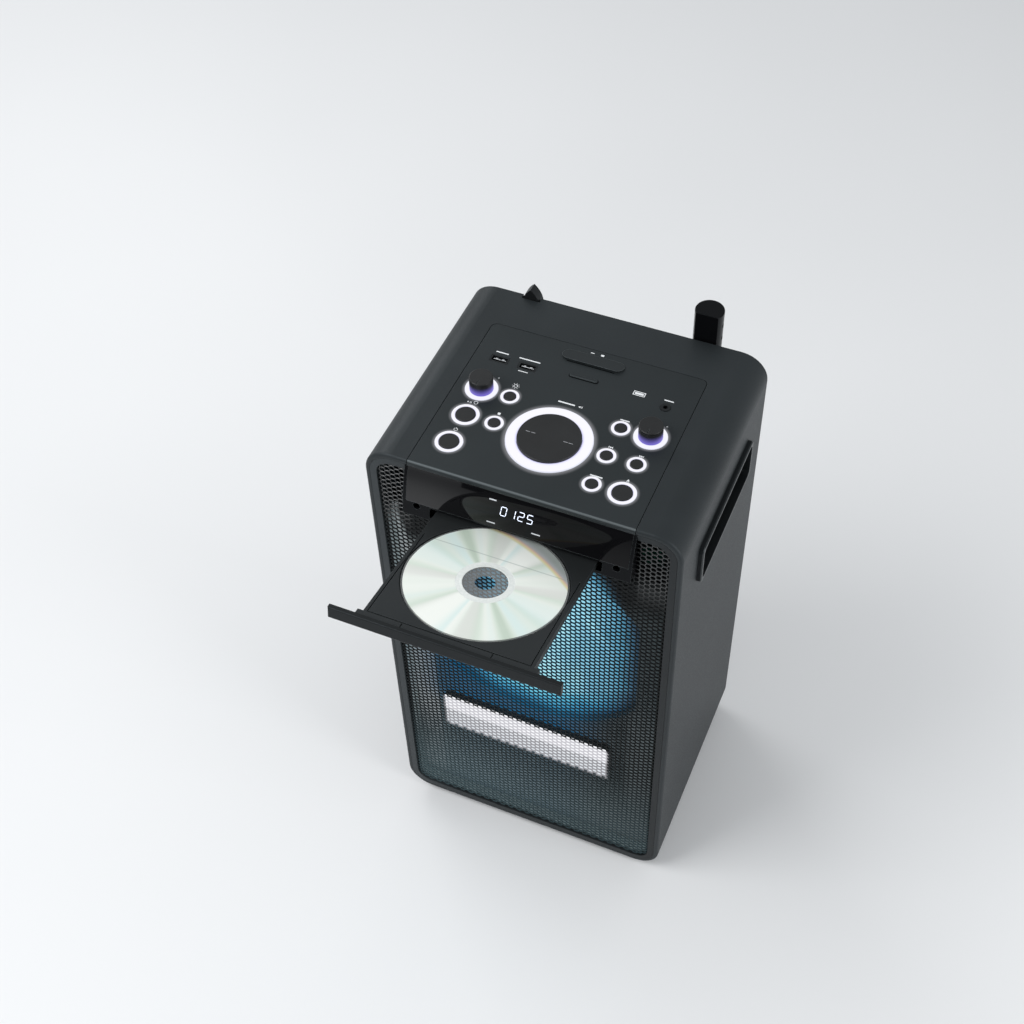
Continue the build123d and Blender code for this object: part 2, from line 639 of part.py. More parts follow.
# ---------------------------------------------------------------- control panel and its controls
def control_panel():
    half = PANEL_WIDTH / 2
    panel = block(-half, half, 0, PANEL_LENGTH, PANEL_UNDERSIDE, TOP_Z)
    panel += block(-half, half, 0, PANEL_LIP_DEPTH, TOP_Z - PANEL_LIP_DROP, TOP_Z)
    top_front = panel.edges().filter_by(Axis.X).group_by(Axis.Z)[-1].sort_by(Axis.Y)[0]
    panel = fillet(top_front, PANEL_LIP_ROUND)
    rear_corners = panel.edges().filter_by(Axis.Z).sort_by(Axis.Y)[-2:]
    panel = fillet(rear_corners, PANEL_CORNER)
    for x, y, radius, _, _ in ring_places():
        panel -= upright(x, y, PANEL_UNDERSIDE, TOP_Z, radius + FIT / 2)
    for x in (-OUTER_COLUMN, -INNER_COLUMN):
        panel -= block(
            x - PORT_WIDTH / 2 - FIT, x + PORT_WIDTH / 2 + FIT,
            PORT_ROW - PORT_HEIGHT / 2 - FIT, PORT_ROW + PORT_HEIGHT / 2 + FIT, PANEL_UNDERSIDE, TOP_Z,
        )
    panel -= upright(OUTER_COLUMN, AUX_Y, PANEL_UNDERSIDE, TOP_Z, AUX_FLANGE_RADIUS + FIT)
    groove_half = REST_WIDTH / 2 - REST_CORNER
    groove = (-groove_half, groove_half, REST_FRONT - REST_GROOVE, REST_FRONT)
    panel -= block(*groove, TOP_Z - REST_GROOVE_DEPTH, TOP_Z)
    return panel


def ring_places():
    """Every light ring: x, y, outer radius, inner radius, rise above the panel."""
    places = [(0, DIAL_Y, DIAL_RING_RADIUS, DIAL_RADIUS + BUTTON_GAP, DIAL_RING_RISE)]
    for x in KNOBS.values():
        shaft_hole = KNOB_SHAFT_RADIUS + KNOB_SHAFT_RELIEF
        places.append((x, row_y(KNOB_ROW), KNOB_RING_RADIUS, shaft_hole, RING_RISE))
    for x, row, large in BUTTONS.values():
        outer = LARGE_RING_RADIUS if large else SMALL_RING_RADIUS
        inner = LARGE_BUTTON_RADIUS if large else SMALL_BUTTON_RADIUS
        places.append((x, row_y(row), outer, inner + BUTTON_GAP, RING_RISE))
    return places


def light_rings():
    rings = []
    for x, y, outer, inner, rise in ring_places():
        ring = upright(x, y, TOP_Z - RING_DEPTH, TOP_Z + rise, outer)
        ring = chamfer(ring.edges().group_by(Axis.Z)[-1], min(rise, outer - inner) / 2)
        rings.append(ring - upright(x, y, TOP_Z - RING_DEPTH, TOP_Z + rise, inner))
    return rings


def push_button(x, row, large):
    radius = LARGE_BUTTON_RADIUS if large else SMALL_BUTTON_RADIUS
    y = row_y(row)
    underside = TOP_Z - RING_DEPTH - FIT
    cap = upright(x, y, underside, TOP_Z + BUTTON_RISE, radius)
    cap = fillet(cap.edges().group_by(Axis.Z)[-1], BUTTON_RISE * 0.8)
    cap += upright(x, y, underside - BUTTON_FLANGE_THICKNESS, underside, radius + BUTTON_FLANGE)
    stem_end = BOARD_TOP + SWITCH_HEIGHT + BUTTON_TRAVEL + FIT
    return cap + upright(x, y, stem_end, underside - BUTTON_FLANGE_THICKNESS, BUTTON_STEM_RADIUS)


def turning_knob(x):
    y = row_y(KNOB_ROW)
    bottom = TOP_Z + RING_RISE + SEAT_GAP
    top = TOP_Z + KNOB_HEIGHT
    knob = upright(x, y, bottom, top, KNOB_RADIUS)
    knob = fillet(knob.edges().group_by(Axis.Z)[-1], KNOB_EDGE_ROUND)
    half = KNOB_MARK_WIDTH / 2
    mark = block(x - half, x + half, y - KNOB_RADIUS, y - KNOB_MARK_END, top - KNOB_MARK_DEPTH, top)
    shaft = upright(x, y, BOARD_TOP + FIT, bottom, KNOB_SHAFT_RADIUS)
    return knob - mark + shaft


def volume_dial():
    top = TOP_Z + DIAL_RISE
    dial = upright(0, DIAL_Y, top - DIAL_THICKNESS, top, DIAL_RADIUS)
    dial = fillet(dial.edges().group_by(Axis.Z)[-1], DIAL_EDGE_ROUND)
    return dial + upright(0, DIAL_Y, BOARD_TOP + FIT, top - DIAL_THICKNESS, KNOB_SHAFT_RADIUS)


def control_board():
    plan = (-BOARD_HALF_WIDTH, BOARD_HALF_WIDTH, BOARD_FRONT, BOARD_REAR)
    board = block(*plan, BOARD_TOP - BOARD_THICKNESS, BOARD_TOP)
    for x, row, _ in BUTTONS.values():
        y = row_y(row)
        half = SWITCH_SIDE / 2
        board += block(x - half, x + half, y - half, y + half, BOARD_TOP, BOARD_TOP + SWITCH_HEIGHT)
    turning = [(x, row_y(KNOB_ROW), POT_SIDE) for x in KNOBS.values()] + [(0, DIAL_Y, ENCODER_SIDE)]
    for x, y, side in turning:
        pot = block(x - side / 2, x + side / 2, y - side / 2, y + side / 2, BOARD_TOP, BOARD_TOP + POT_HEIGHT)
        board += pot
        board -= upright(x, y, BOARD_TOP, BOARD_TOP + POT_HEIGHT, KNOB_SHAFT_RADIUS + SHAFT_GAP)
    for x in (-BOARD_POST_X, BOARD_POST_X):
        for y in BOARD_POST_Y:
            board += upright(x, y, BOARD_TOP, PANEL_UNDERSIDE, BOARD_POST_RADIUS)
    return board


def usb_port(x):
    y0 = PORT_ROW - PORT_HEIGHT / 2
    y1 = PORT_ROW + PORT_HEIGHT / 2
    port = block(x - PORT_WIDTH / 2, x + PORT_WIDTH / 2, y0, y1, BOARD_TOP, TOP_Z)
    mouth_half = USB_MOUTH_WIDTH / 2
    mouth_front = PORT_ROW - USB_MOUTH_HEIGHT / 2
    mouth_rear = PORT_ROW + USB_MOUTH_HEIGHT / 2
    port -= block(x - mouth_half, x + mouth_half, mouth_front, mouth_rear, TOP_Z - USB_DEPTH, TOP_Z)
    tongue_half = USB_TONGUE_WIDTH / 2
    tongue_rear = mouth_rear - USB_TONGUE_GAP
    return port + block(
        x - tongue_half, x + tongue_half, tongue_rear - USB_TONGUE_THICKNESS, tongue_rear,
        TOP_Z - USB_DEPTH, TOP_Z - USB_TONGUE_SETBACK,
    )


def aux_jack():
    half = AUX_BODY_SIDE / 2
    x = OUTER_COLUMN
    jack = block(x - half, x + half, AUX_Y - half, AUX_Y + half, BOARD_TOP, PANEL_UNDERSIDE - FIT)
    jack += upright(x, AUX_Y, PANEL_UNDERSIDE - FIT, TOP_Z + RING_RISE, AUX_FLANGE_RADIUS)
    top = TOP_Z + RING_RISE
    return jack - upright(x, AUX_Y, top - AUX_BORE_LENGTH, top, AUX_BORE_RADIUS)


def device_rest():
    """A wedge that a phone leans on, and the low bar that stops its foot."""
    plan = Pos(0, REST_FRONT + REST_LENGTH / 2) * RectangleRounded(REST_WIDTH, REST_LENGTH, REST_CORNER)
    wedge = extrude(Plane.XY.offset(TOP_Z) * plan, amount=REST_RISE)
    rear = REST_FRONT + REST_LENGTH
    above = 2 * REST_RISE
    slope = Polyline(
        (REST_FRONT, REST_RISE), (rear, REST_REAR_RISE), (rear, above), (REST_FRONT, above), close=True,
    )
    wedge -= Pos(0, 0, TOP_Z) * across(slope, REST_WIDTH)
    bar_plan = Pos(0, STOP_Y) * SlotOverall(STOP_WIDTH, STOP_LENGTH)
    bar = extrude(Plane.XY.offset(TOP_Z) * bar_plan, amount=STOP_RISE)
    bar = chamfer(bar.edges().group_by(Axis.Z)[-1], STOP_CHAMFER)
    return [wedge, bar]


# ---------------------------------------------------------------- front of the drive unit
def display_curve():
    """The display's face from its lower edge up to the panel's rolled edge, in Y and Z."""
    lower = drive_point(-LEDGE_REACH, DISPLAY_BOTTOM)
    upper = (FIT, TOP_Z - PANEL_LIP_DROP - FIT)
    return lower, upper, TangentArc(lower, upper, tangent=(SIN_TILT, COS_TILT))


def display_window():
    lower, upper, face = display_curve()
    back = Pos(DISPLAY_THICKNESS, 0) * face
    edges = [face, back]
    for y, z in (lower, upper):
        edges.append(Line((y, z), (y + DISPLAY_THICKNESS, z)))
    return across(edges, UNIT_HALF_WIDTH - CHEEK_THICKNESS - FIT)


def display_module():
    middle = TOP_Z - DIGIT_CENTRE_Z
    back = DISPLAY_THICKNESS + MODULE_SETBACK
    half_height = MODULE_HEIGHT / 2
    half = MODULE_WIDTH / 2
    low, high = middle - half_height, middle + half_height
    module = block(-half, half, back, back + MODULE_THICKNESS, low, high)
    digits = block(
        -DIGIT_BLOCK_WIDTH / 2, DIGIT_BLOCK_WIDTH / 2, back - DIGIT_BLOCK_DEPTH, back,
        middle - DIGIT_BLOCK_HEIGHT / 2, middle + DIGIT_BLOCK_HEIGHT / 2,
    )
    lower, upper, face = display_curve()
    behind = [Pos(DISPLAY_THICKNESS + SEAT_GAP, 0) * face]
    far = back + MODULE_THICKNESS + 1
    shifted = [(point[0] + DISPLAY_THICKNESS + SEAT_GAP, point[1]) for point in (lower, upper)]
    behind.append(Polyline(shifted[1], (far, upper[1]), (far, lower[1]), shifted[0]))
    return (module + digits) & across(behind, UNIT_HALF_WIDTH)


def tray_bay_frame():
    """Cheeks, ledge and floor round the display and the tray's slot."""
    lower, upper, face = display_curve()
    foot = drive_point(-LEDGE_REACH, LEDGE_BOTTOM)
    back_low = (UNIT_BACK, unit_underside_z(UNIT_BACK))
    side = [face, Polyline(lower, foot, back_low, (UNIT_BACK, upper[1]), upper)]
    frame = across(side, UNIT_HALF_WIDTH) - across(side, UNIT_HALF_WIDTH - CHEEK_THICKNESS)
    half = UNIT_HALF_WIDTH - CHEEK_THICKNESS
    back = -LEDGE_REACH + LEDGE_THICKNESS
    ledge = block(-half, half, -LEDGE_REACH, back, LEDGE_BOTTOM, DISPLAY_BOTTOM - FIT)
    slot_half = LIP_HALF_WIDTH + SLOT_SIDE_GAP
    slot_bottom = -TRAY_SKIRT - SLOT_BOTTOM_GAP
    ledge -= block(-slot_half, slot_half, -LEDGE_REACH, -LEDGE_REACH + LEDGE_THICKNESS, slot_bottom, SLOT_TOP)
    hole_x = (slot_half + half) / 2 + PEG_HOLE_OFFSET
    for x in (-hole_x, hole_x):
        hole = Cylinder(PEG_HOLE_RADIUS, 4 * LEDGE_THICKNESS)
        ledge -= Pos(x, -LEDGE_REACH, PEG_HOLE_N) * Rot(90, 0, 0) * hole
    floor = block(-half, half, -LEDGE_REACH, UNIT_FLOOR_END, LEDGE_BOTTOM, slot_bottom)
    for side in (-1, 1):
        guide_in = TRAY_WIDTH / 2 - GUIDE_OVERLAP - 2 * FIT
        recess = sorted((side * guide_in, side * (CHASSIS_HALF_WIDTH + 2 * FIT)))
        floor -= block(*recess, GUIDE_FRONT - 2 * FIT, UNIT_FLOOR_END, LEDGE_BOTTOM, slot_bottom)
    return frame + in_drive(ledge + floor)


# ---------------------------------------------------------------- tray
def rack_teeth():
    """Straight teeth facing +X, with a gap between teeth opposite the gear's middle."""
    pitch = pi * GEAR_MODULE
    slant = tan(radians(PRESSURE_ANGLE))
    line = GEAR_X - GEAR_MODULE * RACK_PINION_TEETH / 2
    tip = line + TOOTH_ADDENDUM * GEAR_MODULE
    root = line - TOOTH_DEDENDUM * GEAR_MODULE
    half_line = pitch / 4 - TOOTH_THINNING / 2
    half_tip = half_line - slant * (tip - line)
    half_root = half_line + slant * (line - root)
    teeth = int(TRAY_TRAVEL / pitch) + 5
    first = GEAR_V + pitch * 1.5
    last = first - pitch * (teeth - 1)
    points = [(root - RACK_BODY, last - pitch), (root - RACK_BODY, first + pitch), (root, first + pitch)]
    for tooth in range(teeth):
        middle = first - pitch * tooth
        points += [(root, middle + half_root), (tip, middle + half_tip)]
        points += [(tip, middle - half_tip), (root, middle - half_root)]
    points.append((root, last - pitch))
    rack = make_face(Polyline(*points, close=True))
    return extrude(Plane.XY.offset(-TRAY_SKIRT) * rack, amount=TRAY_SKIRT - TRAY_THICKNESS)


def disc_tray():
    half = TRAY_WIDTH / 2
    length = TRAY_REAR - FASCIA_BACK
    plan = Pos(0, (TRAY_REAR + FASCIA_BACK) / 2) * RectangleRounded(TRAY_WIDTH, length, TRAY_EDGE_RADIUS)
    tray = extrude(Plane.XY.offset(-TRAY_THICKNESS) * plan, amount=TRAY_THICKNESS)
    for x0, x1 in ((-half, -half + TRAY_SKIRT_WIDTH), (half - TRAY_SKIRT_WIDTH, half)):
        start, end = FASCIA_BACK + TRAY_EDGE_RADIUS, TRAY_REAR - TRAY_EDGE_RADIUS
        tray += block(x0, x1, start, end, -TRAY_SKIRT, -TRAY_THICKNESS)
    tray += block(-LIP_HALF_WIDTH, LIP_HALF_WIDTH, FASCIA_BACK, FASCIA_BACK + LIP_LENGTH, -TRAY_SKIRT, 0)
    tray += rack_teeth()
    tray -= upright(0, DISC_V, -RECESS_DEPTH, 0, RECESS_RADIUS)
    tray -= upright(0, DISC_V, -RECESS_DEPTH - SMALL_RECESS_STEP, 0, SMALL_RECESS_RADIUS)
    tray -= upright(0, DISC_V, -TRAY_THICKNESS, 0, WINDOW_RADIUS)
    slot_half = WINDOW_SLOT_WIDTH / 2
    slot_end = DISC_V + DISC_RADIUS
    tray -= block(-slot_half, slot_half, DISC_V, slot_end, -TRAY_THICKNESS, 0)
    inset_x = half - GROOVE_INSET
    front = FASCIA_BACK + LIP_LENGTH + FIT
    tray -= block(-inset_x, inset_x, front, front + GROOVE_WIDTH, -GROOVE_DEPTH, 0)
    for x in (-inset_x, inset_x - GROOVE_WIDTH):
        tray -= block(x, x + GROOVE_WIDTH, front, front + SIDE_GROOVE_LENGTH, -GROOVE_DEPTH, 0)
    for x in (-TICK_SPACING / 2, TICK_SPACING / 2):
        half = GROOVE_WIDTH / 2
        tray -= block(x - half, x + half, FASCIA_BACK + TICK_START, front, -GROOVE_DEPTH, 0)
    return in_drive(tray)


def tray_fascia():
    bar = block(-FASCIA_WIDTH / 2, FASCIA_WIDTH / 2, FASCIA_FRONT, FASCIA_BACK, -FASCIA_DROP, FASCIA_TOP)
    return in_drive(fillet(bar.faces().sort_by(Axis.Y)[0].edges(), FASCIA_ROUND))


def compact_disc():
    bottom = -RECESS_DEPTH + FIT / 2
    disc = upright(0, DISC_V, bottom, bottom + DISC_THICKNESS, DISC_RADIUS)
    return in_drive(disc - upright(0, DISC_V, bottom, bottom + DISC_THICKNESS, DISC_HOLE_RADIUS))


# ---------------------------------------------------------------- disc drive
def loader_chassis():
    """Floor, side walls and guides of the drive, hung from the panel by four pillars."""
    outer = CHASSIS_HALF_WIDTH
    inner = outer - CHASSIS_WALL
    floor_low = CHASSIS_FLOOR - CHASSIS_FLOOR_THICKNESS
    chassis = block(-outer, outer, CHASSIS_FRONT, CHASSIS_REAR, floor_low, CHASSIS_FLOOR)
    guide_x = TRAY_WIDTH / 2 - GUIDE_OVERLAP
    under = -TRAY_SKIRT - SEAT_GAP
    for side in (-1, 1):
        wall = sorted((side * inner, side * outer))
        guide = sorted((side * guide_x, side * outer))
        chassis += block(*wall, CHASSIS_FRONT, CHASSIS_REAR, CHASSIS_FLOOR, CHASSIS_TOP)
        chassis += block(*guide, GUIDE_FRONT, CHASSIS_REAR, under - GUIDE_THICKNESS, under)
        chassis += block(*guide, GUIDE_FRONT, CHASSIS_REAR, 2 * FIT, 2 * FIT + GUIDE_THICKNESS)
    chassis += upright(GEAR_X, GEAR_V, CHASSIS_FLOOR, -TRAY_THICKNESS - 2 * SEAT_GAP, AXLE_RADIUS)
    chassis += upright(GEAR_X, GEAR_V, CHASSIS_FLOOR, large_gear_bottom() - SEAT_GAP, 2 * AXLE_RADIUS)
    chassis -= upright(motor_x(), GEAR_V, floor_low, CHASSIS_FLOOR, 2 * MOTOR_SHAFT_RADIUS)
    for v in rail_ends():
        for x in (-RAIL_SPACING / 2, RAIL_SPACING / 2):
            half = RAIL_BLOCK_WIDTH / 2
            chassis += block(x - half, x + half, v, v + RAIL_BLOCK, CHASSIS_FLOOR, RAIL_BLOCK_TOP)
            hole = Cylinder(RAIL_RADIUS + RAIL_FIT, RAIL_BLOCK)
            chassis -= Pos(x, v + RAIL_BLOCK / 2, RAIL_N) * Rot(90, 0, 0) * hole
    chassis = in_drive(chassis)
    for y in PILLAR_ROWS:
        _, ear_z = drive_point(y / COS_TILT, 0)
        for side in (-1, 1):
            x0, x1 = sorted((side * inner, side * (PILLAR_X + PILLAR_RADIUS)))
            chassis += block(x0, x1, y - PILLAR_RADIUS, y + PILLAR_RADIUS, ear_z, ear_z + EAR_HEIGHT)
            chassis += upright(side * PILLAR_X, y, ear_z, PANEL_UNDERSIDE, PILLAR_RADIUS)
    return chassis


def large_gear_bottom():
    return -TRAY_THICKNESS - SEAT_GAP - PINION_THICKNESS - GEAR_STEP_GAP - LARGE_GEAR_THICKNESS


def motor_x():
    return GEAR_X + GEAR_MODULE * (LARGE_GEAR_TEETH + MOTOR_PINION_TEETH) / 2


def rail_ends():
    """Front faces of the blocks that hold the sled's rails."""
    front = SPINDLE_V + SPINDLE_MOTOR_RADIUS + RAIL_FRONT_GAP
    return front, front + RAIL_BLOCK + SLED_STOP_GAP + SLED_LENGTH + SLED_TRAVEL + RAIL_SPARE


def tray_gear():
    top = -TRAY_THICKNESS - SEAT_GAP
    pinion_plane = Plane.XY.offset(top - PINION_THICKNESS)
    small = extrude(pinion_plane * gear_outline(RACK_PINION_TEETH), amount=PINION_THICKNESS)
    low = large_gear_bottom()
    large = extrude(Plane.XY.offset(low) * gear_outline(LARGE_GEAR_TEETH), amount=LARGE_GEAR_THICKNESS)
    hub = upright(0, 0, low, top, 2 * AXLE_RADIUS)
    gear = small + large + hub - upright(0, 0, low, top, AXLE_RADIUS + SHAFT_GAP)
    return in_drive(Pos(GEAR_X, GEAR_V) * gear)


def motor_pinion():
    low = large_gear_bottom()
    outline = Rot(0, 0, 180 / MOTOR_PINION_TEETH) * gear_outline(MOTOR_PINION_TEETH)
    pinion = extrude(Plane.XY.offset(low) * outline, amount=LARGE_GEAR_THICKNESS)
    floor_low = CHASSIS_FLOOR - CHASSIS_FLOOR_THICKNESS
    pinion += upright(0, 0, floor_low - MOTOR_LENGTH / 2, low, MOTOR_SHAFT_RADIUS)
    return in_drive(Pos(motor_x(), GEAR_V) * pinion)


def loading_motor():
    floor_low = CHASSIS_FLOOR - CHASSIS_FLOOR_THICKNESS
    motor = upright(0, 0, floor_low - MOTOR_LENGTH, floor_low, MOTOR_RADIUS)
    motor -= upright(0, 0, floor_low - MOTOR_LENGTH / 2 - FIT, floor_low, MOTOR_SHAFT_RADIUS + SHAFT_GAP)
    return in_drive(Pos(motor_x(), GEAR_V) * motor)


def spindle_motor():
    motor = upright(0, SPINDLE_V, CHASSIS_FLOOR, CHASSIS_FLOOR + SPINDLE_MOTOR_HEIGHT, SPINDLE_MOTOR_RADIUS)
    bore_low = CHASSIS_FLOOR + SPINDLE_BORE_FLOOR
    bore_top = CHASSIS_FLOOR + SPINDLE_MOTOR_HEIGHT
    motor -= upright(0, SPINDLE_V, bore_low, bore_top, SPINDLE_SHAFT_RADIUS + SHAFT_GAP)
    return in_drive(motor)


def turntable():
    table = upright(0, SPINDLE_V, TURNTABLE_TOP - TURNTABLE_THICKNESS, TURNTABLE_TOP, TURNTABLE_RADIUS)
    hub = upright(0, SPINDLE_V, TURNTABLE_TOP, TURNTABLE_HUB_TOP, TURNTABLE_HUB_RADIUS)
    table += chamfer(hub.edges().group_by(Axis.Z)[-1], TURNTABLE_HUB_CHAMFER)
    shaft_low = CHASSIS_FLOOR + SPINDLE_BORE_FLOOR + SEAT_GAP
    shaft = upright(0, SPINDLE_V, shaft_low, TURNTABLE_TOP - TURNTABLE_THICKNESS, SPINDLE_SHAFT_RADIUS)
    return in_drive(table + shaft)


def clamp_bridge():
    outer = CHASSIS_HALF_WIDTH
    front = SPINDLE_V - BRIDGE_WIDTH / 2
    bridge = block(-outer, outer, front, front + BRIDGE_WIDTH, CHASSIS_TOP, CHASSIS_TOP + BRIDGE_THICKNESS)
    hole = upright(0, SPINDLE_V, CHASSIS_TOP, CHASSIS_TOP + BRIDGE_THICKNESS, BRIDGE_HOLE_RADIUS)
    return in_drive(bridge - hole)


def disc_clamp():
    flange_low = CHASSIS_TOP + BRIDGE_THICKNESS + FIT
    clamp = upright(0, SPINDLE_V, CLAMP_BOTTOM, flange_low, CLAMP_RADIUS)
    clamp += upright(0, SPINDLE_V, flange_low, flange_low + CLAMP_FLANGE_THICKNESS, CLAMP_FLANGE_RADIUS)
    return in_drive(clamp)


def sled_rails():
    start, end = rail_ends()
    middle = (start + end + RAIL_BLOCK) / 2
    length = end + RAIL_BLOCK - start
    rails = []
    for x in (-RAIL_SPACING / 2, RAIL_SPACING / 2):
        rails.append(in_drive(Pos(x, middle, RAIL_N) * Rot(90, 0, 0) * Cylinder(RAIL_RADIUS, length)))
    return rails


def laser_sled():
    lens_v = SPINDLE_V + LENS_START
    front = rail_ends()[0] + RAIL_BLOCK + SLED_STOP_GAP
    sled = block(-SLED_WIDTH / 2, SLED_WIDTH / 2, front, front + SLED_LENGTH, SLED_BOTTOM, SLED_TOP)
    sled += upright(0, lens_v, SLED_TOP, LENS_TOP, LENS_RADIUS)
    for x in (-RAIL_SPACING / 2, RAIL_SPACING / 2):
        bore = Rot(90, 0, 0) * Cylinder(RAIL_RADIUS + SHAFT_GAP, SLED_LENGTH)
        sled -= Pos(x, front + SLED_LENGTH / 2, RAIL_N) * bore
    return in_drive(sled)


# ---------------------------------------------------------------- loudspeaker and lights
def board_outline(inset, top):
    """The cabinet's section up to a height above its underside."""
    half = CABINET_WIDTH
    cut = Pos(0, BASE_Z + top / 2) * Rectangle(2 * half, top)
    return cabinet_outline(inset) & cut


def light_window(grow):
    """A round window with straight sides."""
    circle = Pos(0, WOOFER_Z) * Circle(LIGHT_WINDOW_RADIUS + grow)
    return circle & (Pos(0, WOOFER_Z) * Rectangle(LIGHT_WINDOW_WIDTH + 2 * grow, 3 * LIGHT_WINDOW_RADIUS))


def light_frame():
    back = LIGHT_FRAME_FRONT + LIGHT_FRAME_THICKNESS
    frame = slab(board_outline(WALL + FIT, LIGHT_FRAME_TOP), LIGHT_FRAME_FRONT, back)
    return frame - slab(light_window(0), LIGHT_FRAME_FRONT, back)


def glow_ring():
    front = LIGHT_FRAME_FRONT + LIGHT_FRAME_THICKNESS
    ring = slab(light_window(GLOW_OVERLAP), front, front + GLOW_THICKNESS)
    return ring - level(0, WOOFER_Z, front, front + GLOW_THICKNESS, WOOFER_RADIUS + FIT)


def baffle_front():
    return LIGHT_FRAME_FRONT + LIGHT_FRAME_THICKNESS + GLOW_THICKNESS


def speaker_baffle():
    front = baffle_front()
    baffle = slab(board_outline(WALL + FIT, LIGHT_FRAME_TOP), front, front + BAFFLE_THICKNESS)
    return baffle - level(0, WOOFER_Z, front, front + BAFFLE_THICKNESS, BAFFLE_HOLE_RADIUS)


def led_bar():
    """A tray of lamps behind a long window."""
    left, right = LED_BAR_X - LED_BAR_WIDTH / 2, LED_BAR_X + LED_BAR_WIDTH / 2
    low = BASE_Z + LED_BAR_BOTTOM
    front = LIGHT_FRAME_FRONT - LED_BAR_DEPTH
    bar = block(left, right, front, LIGHT_FRAME_FRONT, low, low + LED_BAR_HEIGHT)
    return fillet(bar.faces().sort_by(Axis.Y)[0].edges(), LED_BAR_WALL)


def turned(outline):
    """A closed outline of radius and depth, turned about the woofer's axis."""
    return Pos(0, 0, WOOFER_Z) * revolve(Plane.XY * make_face(outline), Axis.Y)


def woofer_frame():
    front = baffle_front()
    rear = front + BASKET_DEPTH
    outer = Polyline(
        (WOOFER_FLANGE_INNER, front - WOOFER_FLANGE), (WOOFER_RADIUS, front - WOOFER_FLANGE),
        (WOOFER_RADIUS, front),
        (WOOFER_FLANGE_INNER + BASKET_WALL - BASKET_STEP, front),
        (BASKET_REAR_RADIUS + BASKET_WALL, rear - BASKET_WALL), (BASKET_REAR_RADIUS + BASKET_WALL, rear),
        (POLE_BORE_RADIUS, rear), (POLE_BORE_RADIUS, rear - BASKET_WALL),
        (BASKET_REAR_RADIUS, rear - BASKET_WALL), (WOOFER_FLANGE_INNER - BASKET_STEP, front), close=True,
    )
    frame = turned(outer)
    for index in range(BASKET_WINDOWS):
        reach = Pos(0, 0, WOOFER_RADIUS / 2 + POLE_BORE_RADIUS / 2)
        opening = Box(BASKET_WINDOW_WIDTH, BASKET_WINDOW_LENGTH, WOOFER_RADIUS - POLE_BORE_RADIUS)
        turned_opening = Rot(0, 360 * index / BASKET_WINDOWS, 0) * reach * opening
        frame -= Pos(0, front + BASKET_WINDOW_START + BASKET_WINDOW_LENGTH / 2, WOOFER_Z) * turned_opening
    return frame


def woofer_magnet():
    front = baffle_front() + BASKET_DEPTH
    rear = front + MAGNET_THICKNESS
    magnet = level(0, WOOFER_Z, front, rear, MAGNET_RADIUS)
    coil_end = cone_front() + CONE_DEPTH + COIL_LENGTH
    magnet -= level(0, WOOFER_Z, front, coil_end + CONE_STROKE + COIL_END_GAP, POLE_BORE_RADIUS)
    return magnet + level(0, WOOFER_Z, front + POLE_SETBACK, rear, POLE_RADIUS)


def woofer_surround():
    """The rubber roll between the frame and the cone."""
    seat = baffle_front() - WOOFER_FLANGE
    middle = (SURROUND_INNER + WOOFER_FLANGE_INNER) / 2
    roll = SURROUND_ROLL
    inner, outer = middle - roll, middle + roll
    back = seat + SURROUND_THICKNESS
    root = seat - SURROUND_THICKNESS
    lip = WOOFER_FLANGE_INNER - SURROUND_STEP
    flat = WOOFER_FLANGE_INNER + SURROUND_SEAT
    under_inner, under_outer = inner + SURROUND_THICKNESS, outer - SURROUND_THICKNESS
    edges = [
        ThreePointArc((inner, seat), (middle, seat - roll), (outer, seat)),
        Polyline((outer, seat), (outer + SURROUND_STEP, root), (flat, root), (flat, seat)),
        Polyline((flat, seat), (lip, seat), (lip, back), (under_outer, back)),
        ThreePointArc((under_inner, back), (middle, seat - roll + SURROUND_CREST), (under_outer, back)),
        Polyline((under_inner, back), (SURROUND_INNER, back), (SURROUND_INNER, seat), (inner, seat)),
    ]
    return turned(edges)


def cone_front():
    """Depth of the cone's outer edge."""
    return baffle_front() - WOOFER_FLANGE


def woofer_cone():
    front = cone_front()
    neck = COIL_RADIUS
    deep = front + CONE_DEPTH
    end = deep + COIL_LENGTH
    outline = Polyline(
        (CONE_RADIUS, front), (CONE_RADIUS, front + CONE_RIM), (neck, deep), (neck, end),
        (neck - COIL_WALL, end),
        (neck - COIL_WALL, deep - 1), (CONE_RADIUS - CONE_THICKNESS, front + CONE_RIM - CONE_THICKNESS),
        (CONE_RADIUS - CONE_THICKNESS, front), close=True,
    )
    return turned(outline)


def dust_cap():
    """A shallow dome that sits on the cone."""
    cone_slope = (CONE_DEPTH - CONE_RIM) / (CONE_RADIUS - COIL_RADIUS)
    seat = cone_front() + CONE_RIM - 1.5 * CONE_THICKNESS + (CONE_RADIUS - DUST_CAP_RADIUS) * cone_slope
    ball = (DUST_CAP_RADIUS**2 + DUST_CAP_RISE**2) / (2 * DUST_CAP_RISE)
    middle = Pos(0, seat - DUST_CAP_RISE + ball, WOOFER_Z)
    dome = middle * Sphere(ball) - middle * Sphere(ball - DUST_CAP_WALL)
    return dome & block(-ball, ball, seat - DUST_CAP_RISE, seat, WOOFER_Z - ball, WOOFER_Z + ball)


# ---------------------------------------------------------------- rear and inside
def bass_port():
    z = BASE_Z + PORT_HEIGHT_REAR
    outer = PORT_RADIUS + PORT_WALL
    port = level(0, z, CABINET_DEPTH - PORT_LENGTH, CABINET_DEPTH, outer)
    port += level(0, z, CABINET_DEPTH, CABINET_DEPTH + PORT_WALL, outer + PORT_FLANGE)
    return port - level(0, z, CABINET_DEPTH - PORT_LENGTH, CABINET_DEPTH + PORT_WALL, PORT_RADIUS)


